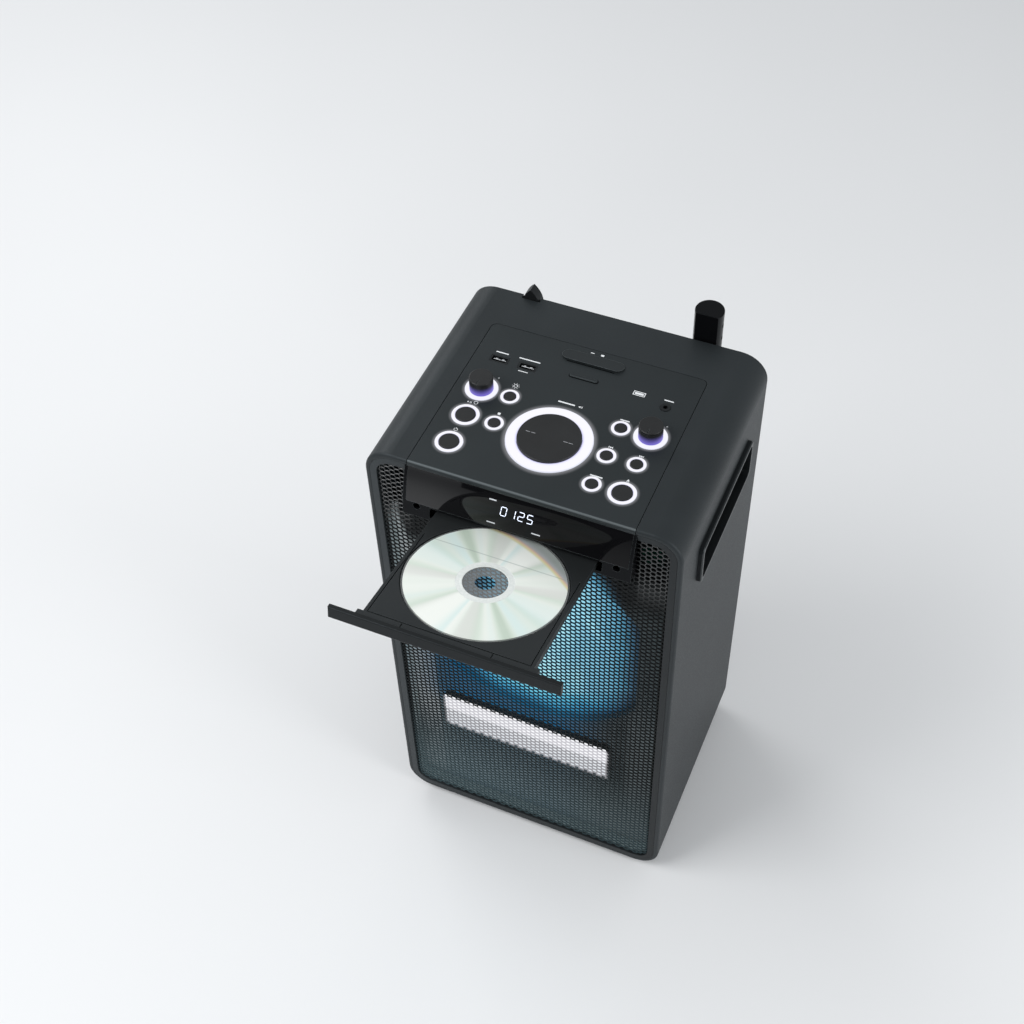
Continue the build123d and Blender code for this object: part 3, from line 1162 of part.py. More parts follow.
def socket_plate():
    z = BASE_Z + SOCKET_PLATE_Z
    outline = Pos(0, z) * RectangleRounded(SOCKET_PLATE_WIDTH, SOCKET_PLATE_HEIGHT, SOCKET_PLATE_CORNER)
    plate = slab(outline, CABINET_DEPTH, CABINET_DEPTH + SOCKET_PLATE_THICKNESS)
    for x in jack_places():
        plate -= level(x, z, CABINET_DEPTH, CABINET_DEPTH + SOCKET_PLATE_THICKNESS, MIC_JACK_COLLAR + FIT)
    plate -= block(
        INLET_X - INLET_WIDTH / 2 - FIT, INLET_X + INLET_WIDTH / 2 + FIT, CABINET_DEPTH,
        CABINET_DEPTH + SOCKET_PLATE_THICKNESS, z - INLET_HEIGHT / 2 - FIT, z + INLET_HEIGHT / 2 + FIT,
    )
    return plate


def jack_places():
    return MIC_JACK_X - MIC_JACK_SPACING / 2, MIC_JACK_X + MIC_JACK_SPACING / 2


def microphone_jacks():
    z = BASE_Z + SOCKET_PLATE_Z
    mouth = CABINET_DEPTH + SOCKET_PLATE_THICKNESS + MIC_JACK_NUT_HEIGHT
    jacks = []
    for x in jack_places():
        jack = level(x, z, mouth - MIC_BORE_LENGTH - MIC_JACK_BACK, CABINET_DEPTH, MIC_JACK_RADIUS)
        jack += level(x, z, CABINET_DEPTH, CABINET_DEPTH + SOCKET_PLATE_THICKNESS, MIC_JACK_COLLAR)
        jack += level(x, z, CABINET_DEPTH + SOCKET_PLATE_THICKNESS, mouth, MIC_JACK_NUT_RADIUS)
        jacks.append(jack - level(x, z, mouth - MIC_BORE_LENGTH, mouth, MIC_BORE_RADIUS))
    return jacks


def power_inlet():
    z = BASE_Z + SOCKET_PLATE_Z
    mouth = CABINET_DEPTH + SOCKET_PLATE_THICKNESS + 1
    half = INLET_WIDTH / 2
    low, high = z - INLET_HEIGHT / 2, z + INLET_HEIGHT / 2
    inlet = block(INLET_X - half, INLET_X + half, mouth - INLET_DEPTH, mouth, low, high)
    recess = Pos(INLET_X, z) * SlotOverall(INLET_RECESS_WIDTH, INLET_RECESS_HEIGHT)
    inlet -= slab(recess, mouth - INLET_RECESS_DEPTH, mouth)
    for x in (INLET_X - INLET_PIN_SPACING / 2, INLET_X + INLET_PIN_SPACING / 2):
        bottom = mouth - INLET_RECESS_DEPTH
        inlet += level(x, z, bottom, bottom + INLET_PIN_LENGTH, INLET_PIN_RADIUS)
    return inlet


def amplifier_board():
    z = BASE_Z + AMP_Z
    back = REAR_PANEL_FRONT - AMP_STANDOFF
    half = AMP_WIDTH / 2
    low = z - AMP_HEIGHT / 2
    board = block(-half, half, back - BOARD_THICKNESS, back, low, low + AMP_HEIGHT)
    for x in (-half + AMP_FOOT_INSET, half - AMP_FOOT_INSET):
        for height in (low + AMP_FOOT_INSET, low + AMP_HEIGHT - AMP_FOOT_INSET):
            board += level(x, height, back, REAR_PANEL_FRONT, AMP_FOOT_RADIUS)
    base = back - BOARD_THICKNESS - SINK_BASE
    sink_half = half - SINK_SIDE_MARGIN
    ends = (low + SINK_END_MARGIN, low + AMP_HEIGHT - SINK_END_MARGIN)
    board += block(-sink_half, sink_half, base, back - BOARD_THICKNESS, *ends)
    pitch = (2 * sink_half - SINK_FIN_THICKNESS) / (SINK_FINS - 1)
    for fin in range(SINK_FINS):
        x = fin * pitch - sink_half
        board += block(x, x + SINK_FIN_THICKNESS, base - SINK_FIN_DEPTH, base, *ends)
    return board


def standing_box(x, y, width, length, height):
    floor = BASE_Z + WALL
    box = block(x - width / 2, x + width / 2, y - length / 2, y + length / 2, floor, floor + height)
    return chamfer(box.edges().group_by(Axis.Z)[-1], INNER_BOX_CHAMFER)


def power_supply():
    return standing_box(SUPPLY_X, SUPPLY_Y, SUPPLY_WIDTH, SUPPLY_LENGTH, SUPPLY_HEIGHT)


def battery_pack():
    return standing_box(BATTERY_X, BATTERY_Y, BATTERY_WIDTH, BATTERY_LENGTH, BATTERY_HEIGHT)


def microphone_hook():
    """A plate with a pointed top and, behind it, a cradle for a microphone's lead."""
    x = -HOLDER_X
    half = HOOK_WIDTH / 2
    foot = TOP_Z - WALL + FIT
    tip = TOP_Z + HOOK_TIP_RISE
    middle = (foot + tip) / 2
    arch = [
        ThreePointArc((x - half, foot), (x - half * 0.72, middle), (x, tip)),
        ThreePointArc((x, tip), (x + half * 0.72, middle), (x + half, foot)),
        Line((x + half, foot), (x - half, foot)),
    ]
    back = CABINET_DEPTH + HOOK_THICKNESS
    low = TOP_Z - HOLDER_DROP
    hook = slab(make_face(arch), CABINET_DEPTH - HOOK_SETBACK, back)
    hook += block(x - half, x + half, CABINET_DEPTH, back, low, foot)
    lip = back + HOOK_REACH
    hook += block(x - half, x + half, back, lip + HOOK_THICKNESS, low, low + HOOK_THICKNESS)
    return hook + block(x - half, x + half, lip, lip + HOOK_THICKNESS, low, low + HOOK_LIP_HEIGHT)


def microphone_post():
    """A tall round upright with a flat front and two small slots in its side."""
    x = HOLDER_X
    front = CABINET_DEPTH + POST_FRONT_GAP
    low = TOP_Z - HOLDER_DROP
    top = TOP_Z + POST_RISE
    post = upright(x, POST_Y, low, top, POST_RADIUS)
    post -= block(x - POST_RADIUS, x + POST_RADIUS, front - POST_RADIUS, front, low, top)
    post = fillet(post.edges().group_by(Axis.Z)[-1], 0.8)
    side = x + POST_RADIUS
    for height in (top - 4 * POST_SLOT, top - 8 * POST_SLOT):
        post -= block(
            side - POST_SLOT_DEPTH, side, POST_Y - POST_SLOT / 2, POST_Y + POST_SLOT / 2,
            height - POST_SLOT / 2, height + POST_SLOT / 2,
        )
    pad = POST_PAD_WIDTH / 2
    return post + block(x - pad, x + pad, CABINET_DEPTH, front, low, TOP_Z - 2 * WALL)


def screws():
    """Rear panel, socket plate and woofer screws."""
    def screw(x, z, seat, out, length):
        head = level(x, z, *sorted((seat, seat + out * SCREW_HEAD_HEIGHT)), SCREW_HEAD_RADIUS)
        return head + level(x, z, *sorted((seat - out * length, seat)), SCREW_RADIUS)

    group = [screw(x, z, CABINET_DEPTH, 1, SCREW_LENGTH) for x, z, _, _ in boss_places()]
    middle = BASE_Z + SOCKET_PLATE_Z
    half_width = SOCKET_PLATE_WIDTH / 2 - SOCKET_SCREW_INSET
    half_height = SOCKET_PLATE_HEIGHT / 2 - SOCKET_SCREW_INSET
    for x in (-half_width, half_width):
        for z in (middle - half_height, middle + half_height):
            seat = CABINET_DEPTH + SOCKET_PLATE_THICKNESS
            group.append(level(x, z, seat, seat + SCREW_HEAD_HEIGHT, SCREW_HEAD_RADIUS))
    seat = baffle_front() - WOOFER_FLANGE
    ring = (WOOFER_RADIUS + WOOFER_FLANGE_INNER) / 2 + WOOFER_SCREW_OUT
    for index in range(WOOFER_SCREW_COUNT):
        angle = 2 * pi * (index + 0.5) / WOOFER_SCREW_COUNT
        x, z = ring * sin(angle), WOOFER_Z + ring * cos(angle)
        group.append(level(x, z, seat - SCREW_HEAD_HEIGHT, seat, SCREW_HEAD_RADIUS))
    return group


# ---------------------------------------------------------------- write every piece
def write(name, shape):
    """Move a piece, or a group of alike pieces, to the origin's frame and write it."""
    group = shape if isinstance(shape, list) else [shape]
    solids = [solid for member in group for solid in member.solids()]
    placed = [Pos(0, -ORIGIN_Y, 0) * solid for solid in solids]
    export_step(placed[0] if len(placed) == 1 else Compound(children=placed), f"parts/{name}.step")


PIECES = {
    "cabinet_shell": cabinet_shell, "rear_panel": rear_panel, "front_bezel": front_bezel,
    "front_grille": front_grille, "rubber_feet": rubber_feet, "control_panel": control_panel,
    "display_window": display_window, "display_module": display_module, "tray_bay_frame": tray_bay_frame,
    "disc_tray": disc_tray, "tray_fascia": tray_fascia, "compact_disc": compact_disc,
    "loader_chassis": loader_chassis, "loading_motor": loading_motor, "motor_pinion": motor_pinion,
    "tray_gear": tray_gear, "spindle_motor": spindle_motor, "turntable": turntable,
    "disc_clamp": disc_clamp, "clamp_bridge": clamp_bridge, "laser_sled": laser_sled,
    "sled_rails": sled_rails, "volume_dial": volume_dial, "light_rings": light_rings,
    "control_board": control_board, "aux_jack": aux_jack, "device_rest": device_rest,
    "speaker_baffle": speaker_baffle, "light_frame": light_frame, "glow_ring": glow_ring,
    "woofer_frame": woofer_frame, "woofer_magnet": woofer_magnet, "woofer_surround": woofer_surround,
    "woofer_cone": woofer_cone, "dust_cap": dust_cap, "led_bar": led_bar,
    "amplifier_board": amplifier_board, "power_supply": power_supply, "battery_pack": battery_pack,
    "socket_plate": socket_plate, "microphone_jacks": microphone_jacks, "power_inlet": power_inlet,
    "bass_port": bass_port, "microphone_hook": microphone_hook, "microphone_post": microphone_post,
    "screws": screws,
}

os.makedirs("parts", exist_ok=True)
for piece_name, make in PIECES.items():
    write(piece_name, make())
for piece_name, (button_x, button_row, is_large) in BUTTONS.items():
    write(piece_name, push_button(button_x, button_row, is_large))
for piece_name, knob_x in KNOBS.items():
    write(piece_name, turning_knob(knob_x))
for piece_name, handle_side in (("handle_left", -1), ("handle_right", 1)):
    write(piece_name, side_handle(handle_side))
write("usb_ports", [usb_port(-OUTER_COLUMN), usb_port(-INNER_COLUMN)])
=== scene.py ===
"""Looks of the karaoke machine: finishes, perforated grille, disc, display marks and printed signs.

Metres, in the CAD model's frame: +Z up, the front with the disc tray faces -Y, +X is the right side.
"""
import json
from math import atan2, cos, pi, radians, sin, sqrt

import bpy
from mathutils import Matrix, Vector


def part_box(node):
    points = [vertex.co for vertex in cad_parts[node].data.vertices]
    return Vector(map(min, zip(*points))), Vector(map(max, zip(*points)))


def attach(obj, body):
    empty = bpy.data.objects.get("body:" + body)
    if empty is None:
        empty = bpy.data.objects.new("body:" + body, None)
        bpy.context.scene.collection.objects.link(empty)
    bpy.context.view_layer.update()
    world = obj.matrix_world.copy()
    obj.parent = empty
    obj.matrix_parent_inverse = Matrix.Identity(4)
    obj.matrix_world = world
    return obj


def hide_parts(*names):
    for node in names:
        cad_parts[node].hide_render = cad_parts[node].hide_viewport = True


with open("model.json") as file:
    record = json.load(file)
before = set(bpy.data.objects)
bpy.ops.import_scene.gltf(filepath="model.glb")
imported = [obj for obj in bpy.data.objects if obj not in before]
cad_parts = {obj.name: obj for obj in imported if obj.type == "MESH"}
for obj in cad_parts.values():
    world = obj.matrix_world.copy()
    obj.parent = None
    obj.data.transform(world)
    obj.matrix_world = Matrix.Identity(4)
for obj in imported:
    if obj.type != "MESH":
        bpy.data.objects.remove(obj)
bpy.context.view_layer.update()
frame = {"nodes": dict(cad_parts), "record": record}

MM = 0.001
NODES = frame["nodes"]
JOINTS = {joint["name"]: joint for joint in frame["record"]["behaviour"]["joints"]}

# ---------------------------------------------------------------- colours, as linear RGB
CHARCOAL = (0.0152, 0.0182, 0.0198)
PANEL_GREY = (0.0136, 0.0166, 0.0178)
TRAY_GREY = (0.0130, 0.0145, 0.0150)
SOFT_BLACK = (0.0060, 0.0065, 0.0070)
GLOSS_BLACK = (0.0030, 0.0030, 0.0035)
MESH_BLACK = (0.0035, 0.0050, 0.0055)
# teal of a painted reflection on the grille's lower strands
MESH_REFLECTED_TEAL = (0.050, 0.080, 0.089)
MESH_GLINT = (0.020, 0.022, 0.023)
# pale grey of the painted highlights along edges
EDGE_HIGHLIGHT = (0.110, 0.125, 0.130)
COOL_SHEEN = (0.84, 0.94, 1.00)
PRINT_WHITE = (0.80, 0.82, 0.84)
LIT_WHITE = (0.95, 0.94, 1.0)
VIOLET = (0.16, 0.12, 0.62)
# the plate behind the grille: from dark to teal is a painted fade of light towards the left, and the pale grey
# and the navy are painted light
PLATE_TEAL = (0.300, 0.385, 0.400)
PLATE_DARK = (0.110, 0.145, 0.158)
PLATE_LIT_GREY = (0.620, 0.650, 0.660)
PLATE_NAVY_SPILL = (0.004, 0.090, 0.200)
DIGIT_BLUE = (0.78, 0.84, 1.0)
BLACK = (0.0, 0.0, 0.0)
# light behind the grille, from its darkest corner to its brightest
SPEAKER_LIGHT = [
    (0.00, (0.003, 0.010, 0.016)), (0.06, (0.030, 0.085, 0.145)), (0.22, (0.095, 0.330, 0.490)),
    (0.45, (0.200, 0.520, 0.710)), (0.75, (0.330, 0.710, 0.860)), (1.00, (0.460, 0.860, 0.960)),
]
SPEAKER_BLUE = [
    (0.00, (0.003, 0.012, 0.022)), (0.06, (0.015, 0.085, 0.170)), (0.22, (0.035, 0.280, 0.500)),
    (0.45, (0.090, 0.480, 0.700)), (0.75, (0.170, 0.640, 0.830)), (1.00, (0.240, 0.760, 0.900)),
]
# painted light of the speaker on the grille's strands
STRAND_BLUE_SPILL = (0.000, 0.020, 0.040)
DIM_DAYLIGHT = (0.86, 0.97, 1.00)

# ---------------------------------------------------------------- grille
HOLE_PITCH = 4.8 * MM            # between the middles of neighbouring holes
HOLE_RADIUS = 2.12 * MM          # from a hole's middle to its corners
GRILLE_CORNER = 13.2 * MM
GRILLE_EDGE_ROUND = 0.35 * MM

# ---------------------------------------------------------------- light of the speaker
GLOW_SHIFT = 3 * MM              # left of the woofer's axis
GLOW_DROP = 20 * MM              # below it
GLOW_SQUASH = 0.5                # the glow reaches twice as far upward
GLOW_INNER = 42 * MM
GLOW_OUTER = 103 * MM
GLOW_LEAN = 0.3                  # how much farther right the light begins, per millimetre higher
GLOW_DIM = -72 * MM              # dim to the left of this
GLOW_FULL = 8 * MM               # and full to the right of this

# ---------------------------------------------------------------- panel details, in millimetres
STOP_SHAPE = (0, 127.6, 22.9, 3.1, 1.5)       # place, width, length and corner of the device stop
PORT_BODY_WIDTH = 15.0

# ---------------------------------------------------------------- disc
DISC_RADIUS = 60 * MM
DISC_HOLE_RADIUS = 7.5 * MM
CLEAR_HUB_RADIUS = 17.0 * MM
PALE_BAND_RADIUS = 21.5 * MM
PROGRAMME_RADIUS = 58.6 * MM
DISC_THICKNESS = 1.2 * MM
# shades of the painted fans of light on the silver area
DISC_WHITE = (0.88, 0.91, 0.86)
DISC_PALE = (0.80, 0.85, 0.79)
DISC_MINT = (0.66, 0.75, 0.66)
DISC_LEAF = (0.54, 0.64, 0.54)
DISC_SKY = (0.63, 0.80, 0.78)
DISC_ROSE = (0.74, 0.73, 0.71)
BRIGHT_FAN_TURN = 66              # degrees from the disc's right edge, towards the machine
MIRROR_BEND = 4.8                 # curve of the mirrored cabinet's edge, per metre
MIRROR_LEAN = 0.32                # and its slope to the right
MIRROR_LINE = 27 * MM             # faint straight line mirrored in the disc, behind its middle
MIRROR_GREY = (0.30, 0.36, 0.34)
# from the edge of the pale area outward
RAINBOW = [
    (0.00, (0.68, 0.70, 0.50)), (0.22, (0.72, 0.66, 0.36)), (0.40, (0.66, 0.46, 0.32)),
    (0.55, (0.44, 0.36, 0.36)), (0.68, (0.34, 0.36, 0.38)), (1.00, (0.26, 0.29, 0.28)),
]


# ---------------------------------------------------------------- node helpers
class Nodes:
    """A material's node tree, with short calls for the nodes that the finishes need."""

    def __init__(self, name):
        self.material = bpy.data.materials.new(name)
        self.material.use_nodes = True
        self.tree = self.material.node_tree
        self.shader = self.tree.nodes["Principled BSDF"]

    def link(self, source, target):
        self.tree.links.new(source, target)

    def feed(self, socket, value):
        """Links a value to one of the shader's own sockets."""
        self.link(value, self.shader.inputs[socket])

    def place(self):
        """The surface's place in the object, in metres."""
        return self.tree.nodes.new("ShaderNodeTexCoord").outputs["Object"]

    def noise(self, scale, detail=2.0, where=None):
        node = self.tree.nodes.new("ShaderNodeTexNoise")
        node.inputs["Scale"].default_value = scale
        node.inputs["Detail"].default_value = detail
        self.link(where or self.place(), node.inputs["Vector"])
        return node.outputs["Fac"]

    def ramp(self, factor, stops, interpolation="LINEAR"):
        """stops is a list of (position, colour)."""
        node = self.tree.nodes.new("ShaderNodeValToRGB")
        node.color_ramp.interpolation = interpolation
        elements = node.color_ramp.elements
        while len(elements) < len(stops):
            elements.new(0.5)
        for element, (position, color) in zip(elements, stops):
            element.position = position
            element.color = (*color, 1.0)
        self.link(factor, node.inputs["Fac"])
        return node.outputs["Color"]

    def mottled(self, scale, detail, first, second, reach=0.2):
        """A noise from one colour to another, over a reach to each side of its middle."""
        return self.ramp(self.noise(scale, detail), [(0.5 - reach, first), (0.5 + reach, second)])

    def spread(self, value, low, high, out_low=0.0, out_high=1.0):
        """Maps low..high of a value to out_low..out_high, held beyond both ends."""
        node = self.tree.nodes.new("ShaderNodeMapRange")
        node.interpolation_type = "SMOOTHSTEP"
        self.link(value, node.inputs["Value"])
        ends = {"From Min": low, "From Max": high, "To Min": out_low, "To Max": out_high}
        for socket, number in ends.items():
            node.inputs[socket].default_value = number
        return node.outputs["Result"]

    def math(self, operation, first, second):
        node = self.tree.nodes.new("ShaderNodeMath")
        node.operation = operation
        for socket, value in zip(node.inputs, (first, second)):
            if isinstance(value, (int, float)):
                socket.default_value = value
            else:
                self.link(value, socket)
        return node.outputs["Value"]

    def times(self, first, second):
        return self.math("MULTIPLY", first, second)

    def parts(self, vector=None):
        """The X, Y and Z of a place."""
        node = self.tree.nodes.new("ShaderNodeSeparateXYZ")
        self.link(vector or self.place(), node.inputs["Vector"])
        return node.outputs["X"], node.outputs["Y"], node.outputs["Z"]

    def distance(self, point):
        """How far the surface is from a point, in metres."""
        node = self.tree.nodes.new("ShaderNodeVectorMath")
        node.operation = "DISTANCE"
        self.link(self.place(), node.inputs[0])
        node.inputs[1].default_value = point
        return node.outputs["Value"]

    def blend(self, factor, first, second):
        """first where the factor is 0 and second where it is 1, as a colour."""
        node = self.tree.nodes.new("ShaderNodeMix")
        node.data_type = "RGBA"
        self.link(factor, node.inputs["Factor"])
        for socket, value in ((node.inputs["A"], first), (node.inputs["B"], second)):
            if isinstance(value, tuple):
                socket.default_value = (*value, 1.0)
            else:
                self.link(value, socket)
        return node.outputs["Result"]

    def bump(self, height, strength, distance, edge=0.0):
        """Raises the surface by a height, over edges softened by edge metres."""
        node = self.tree.nodes.new("ShaderNodeBump")
        node.inputs["Strength"].default_value = strength
        node.inputs["Distance"].default_value = distance
        self.link(height, node.inputs["Height"])
        if edge:
            self.link(self.soft_edge(edge), node.inputs["Normal"])
        self.feed("Normal", node.outputs["Normal"])

    def soft_edge(self, radius):
        node = self.tree.nodes.new("ShaderNodeBevel")
        node.samples = 4
        node.inputs["Radius"].default_value = radius
        return node.outputs["Normal"]

    def edge_line(self, radius, low=0.80, high=0.985):
        """1 along the piece's edges and 0 on its flat faces."""
        geometry = self.tree.nodes.new("ShaderNodeNewGeometry")
        turn = self.tree.nodes.new("ShaderNodeVectorMath")
        turn.operation = "DOT_PRODUCT"
        self.link(self.soft_edge(radius), turn.inputs[0])
        self.link(geometry.outputs["Normal"], turn.inputs[1])
        return self.spread(turn.outputs["Value"], low, high, 1.0, 0.0)

    def set(self, **values):
        for name, value in values.items():
            socket = self.shader.inputs[name.replace("_", " ")]
            socket.default_value = (*value, 1.0) if isinstance(value, tuple) and len(value) == 3 else value


def scaled(color, factor):
    return tuple(channel * factor for channel in color)


def moulded(name, color, roughness, grain=0.25, grain_scale=1800, mottle=0.12, edge=0.4 * MM, coat=0.0,
            specular=0.32, edge_highlight=0.0):
    """Moulded plastic: a fine grain, faint flow mottling, softened edges and painted highlights along the
    edges.
    """
    nodes = Nodes(name)
    color_out = nodes.mottled(14, 3, scaled(color, 1 - mottle), scaled(color, 1 + mottle), 0.15)
    # painted highlight: the edges are blended towards a pale grey
    if edge_highlight:
        line = nodes.times(nodes.edge_line(edge), edge_highlight)
        color_out = nodes.blend(line, color_out, EDGE_HIGHLIGHT)
    nodes.feed("Base Color", color_out)
    fine = nodes.noise(grain_scale, 3)
    nodes.feed("Roughness", nodes.spread(fine, 0.3, 0.7, roughness - 0.06, roughness + 0.06))
    nodes.bump(fine, grain, 0.08 * MM, edge)
    nodes.set(Coat_Weight=coat, Coat_Roughness=0.08, Specular_IOR_Level=specular, Specular_Tint=COOL_SHEEN)
    return nodes.material


def metal(name, color, roughness, metallic=1.0, brushing=600):
    """Brushed or rolled metal, with fine streaks."""
    nodes = Nodes(name)
    mapping = nodes.tree.nodes.new("ShaderNodeMapping")
    mapping.inputs["Scale"].default_value = (1.0, 0.06, 1.0)
    nodes.link(nodes.place(), mapping.inputs["Vector"])
    streak = nodes.noise(brushing, 4, mapping.outputs["Vector"])
    nodes.feed("Base Color", nodes.ramp(streak, [(0.3, scaled(color, 0.85)), (0.7, color)]))
    nodes.feed("Roughness", nodes.spread(streak, 0.3, 0.7, roughness * 0.8, roughness * 1.2))
    nodes.bump(streak, 0.1, 0.05 * MM, 0.2 * MM)
    nodes.set(Metallic=metallic)
    return nodes.material


def flat_print(name, color, glow=0.0, specular=0.5):
    """Silk-screened ink, slightly uneven, or a lit symbol."""
    nodes = Nodes(name)
    ink = nodes.mottled(900, 2, scaled(color, 0.9), color)
    nodes.feed("Base Color", ink)
    if glow:
        nodes.feed("Emission Color", ink)
    nodes.set(Roughness=0.55, Emission_Strength=glow, Specular_IOR_Level=specular)
    return nodes.material


# ---------------------------------------------------------------- places read from the frame
def centre(node):
    low, high = (Vector(corner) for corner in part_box(node))
    return (low + high) / 2


def top_of(node):
    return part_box(node)[1][2]


BUTTONS = ("power_button", "play_button", "stop_button", "light_button", "audio_button",
           "previous_button", "next_button", "source_button", "eject_button")
LARGE_BUTTONS = ("power_button", "play_button", "eject_button")
KNOBS = ("microphone_volume_knob", "echo_knob")
PANEL_TOP = top_of("control_panel")
FRONT_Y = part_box("front_bezel")[0][1]
RING_WIDTHS = {                   # inner and outer radius of the light rings
    "dial": (25.0 * MM, 33.0 * MM), "knob": (9.0 * MM, 12.9 * MM),
    "large": (8.1 * MM, 10.7 * MM), "small": (5.2 * MM, 7.3 * MM),
}


def lamp_rings():
    """Middle, inner radius and outer radius of each light ring on the panel."""
    kinds = {"volume_dial": "dial", **{name: "knob" for name in KNOBS}}
    kinds.update({name: "large" if name in LARGE_BUTTONS else "small" for name in BUTTONS})
    rings = []
    for name, kind in kinds.items():
        middle = centre(name)
        rings.append((Vector((middle.x, middle.y, PANEL_TOP)), *RING_WIDTHS[kind]))
    return rings


# ---------------------------------------------------------------- finishes of the CAD nodes
def panel_finish():
    """Dark plastic with a painted highlight along its front roll and painted shade on its walls below the top,
    that takes a faint spill of light round each ring.
    """
    nodes = Nodes("panel_plastic_finish")
    cloud = nodes.mottled(12, 3, scaled(PANEL_GREY, 0.9), scaled(PANEL_GREY, 1.1), 0.15)
    behind_front = nodes.math("SUBTRACT", nodes.parts()[1], FRONT_Y)
    # painted highlight: a pale band along the rolled front edge
    roll = nodes.spread(nodes.math("ABSOLUTE", nodes.math("SUBTRACT", behind_front, 1.1 * MM), 0),
                        0.2 * MM, 0.9 * MM, 0.75, 0.0)
    # painted shade: below the top face and well behind the front, the panel is black with almost no sheen
    below_top = nodes.spread(nodes.parts()[2], PANEL_TOP - 0.5 * MM, PANEL_TOP - 0.2 * MM, 1.0, 0.0)
    groove_shade = nodes.times(below_top, nodes.spread(behind_front, 8 * MM, 12 * MM))
    nodes.feed("Base Color", nodes.blend(groove_shade, nodes.blend(roll, cloud, EDGE_HIGHLIGHT), BLACK))
    fine = nodes.noise(2200, 3)
    nodes.feed("Roughness", nodes.spread(fine, 0.3, 0.7, 0.42, 0.54))
    nodes.bump(fine, 0.12, 0.05 * MM, 0.5 * MM)
    spill = None
    for middle, _, outer in lamp_rings():
        near = nodes.spread(nodes.distance(middle), outer - 0.5 * MM, outer * 1.06 + 2.2 * MM, 0.20, 0.0)
        spill = near if spill is None else nodes.math("MAXIMUM", spill, near)
    nodes.feed("Emission Color", nodes.blend(spill, BLACK, LIT_WHITE))
    nodes.feed("Specular IOR Level", nodes.spread(groove_shade, 0.0, 1.0, 0.32, 0.02))
    nodes.set(Emission_Strength=1.0, Specular_Tint=COOL_SHEEN)
    return nodes.material


def ring_finish():
    """Milky light guides: white, with a violet cast towards the inner edges."""
    nodes = Nodes("ring_light_finish")
    across = None
    for middle, inner, outer in lamp_rings():
        reach = nodes.tree.nodes.new("ShaderNodeMapRange")
        reach.clamp = False
        nodes.link(nodes.distance(middle), reach.inputs["Value"])
        reach.inputs["From Min"].default_value = inner
        reach.inputs["From Max"].default_value = outer
        share = reach.outputs["Result"]
        across = share if across is None else nodes.math("MINIMUM", across, share)
    tint = nodes.ramp(across, [(0.0, (0.66, 0.65, 0.94)), (0.07, (0.86, 0.85, 0.99)), (0.18, LIT_WHITE),
                               (0.88, LIT_WHITE), (1.0, (0.72, 0.74, 0.86))])
    nodes.feed("Emission Color", tint)
    nodes.feed("Base Color", nodes.mottled(700, 2, (0.05, 0.05, 0.06), (0.06, 0.06, 0.07)))
    nodes.set(Emission_Strength=0.93, Roughness=0.35)
    return nodes.material


def knob_finish(name, foot, reach, strength=0.55):
    """Black plastic, lit violet from below near its foot."""
    nodes = Nodes(name)
    cloud = nodes.mottled(40, 3, scaled(SOFT_BLACK, 1.3), scaled(SOFT_BLACK, 1.8), 0.15)
    # painted highlight along the edges
    rim = nodes.blend(nodes.times(nodes.edge_line(0.5 * MM), 0.5), cloud, EDGE_HIGHLIGHT)
    nodes.feed("Base Color", rim)
    uneven = nodes.math("ADD", nodes.parts()[2], nodes.times(nodes.noise(160, 2), 1.5 * MM))
    glow = nodes.spread(uneven, foot, foot + reach, strength, 0.0)
    nodes.feed("Emission Color", nodes.blend(glow, BLACK, VIOLET))
    nodes.bump(nodes.noise(2200, 3), 0.12, 0.05 * MM, 0.3 * MM)
    nodes.set(Roughness=0.40, Emission_Strength=1.0, Specular_IOR_Level=0.4)
    return nodes.material


def window_finish():
    """Smoked, glossy cover of the display, with more sheen towards the left."""
    nodes = Nodes("display_window_finish")
    nodes.feed("Base Color", nodes.mottled(20, 2, GLOSS_BLACK, scaled(GLOSS_BLACK, 1.5)))
    nodes.feed("Roughness", nodes.spread(nodes.noise(9, 2), 0.3, 0.7, 0.03, 0.07))
    nodes.feed("Specular IOR Level", nodes.spread(nodes.parts()[0], -75 * MM, 15 * MM, 0.50, 0.13))
    nodes.feed("Normal", nodes.soft_edge(0.4 * MM))
    return nodes.material


def speaker_glow(nodes):
    """How strongly the speaker's light falls on a place behind the grille, from 0 to 1."""
    middle = centre("woofer_frame")
    x, _, z = nodes.parts()
    right = nodes.math("SUBTRACT", x, middle.x - GLOW_SHIFT)
    above = nodes.math("SUBTRACT", z, middle.z - GLOW_DROP)
    rise = nodes.times(nodes.math("MAXIMUM", above, 0.0), GLOW_SQUASH)
    height = nodes.math("ADD", rise, nodes.math("MINIMUM", above, 0.0))
    squares = nodes.math("ADD", nodes.math("POWER", right, 2), nodes.math("POWER", height, 2))
    edge = nodes.spread(nodes.math("SQRT", squares, 0), GLOW_INNER, GLOW_OUTER, 1.0, 0.0)
    clouds = nodes.spread(nodes.noise(16, 2), 0.36, 0.60, 0.55, 1.0)
    lean = nodes.math("SUBTRACT", right, nodes.times(above, GLOW_LEAN))
    dimmed = nodes.spread(lean, GLOW_DIM, GLOW_FULL, 0.10, 1.0)
    return nodes.times(nodes.times(edge, clouds), dimmed)


def speaker_light(nodes, glow):
    """The colour of the speaker's light: cyan, and deeper blue towards the lamps."""
    middle = centre("woofer_frame")
    low_part = nodes.spread(nodes.parts()[2], middle.z - 85 * MM, middle.z - 45 * MM, 1.0, 0.0)
    return nodes.blend(low_part, nodes.ramp(glow, SPEAKER_LIGHT), nodes.ramp(glow, SPEAKER_BLUE))


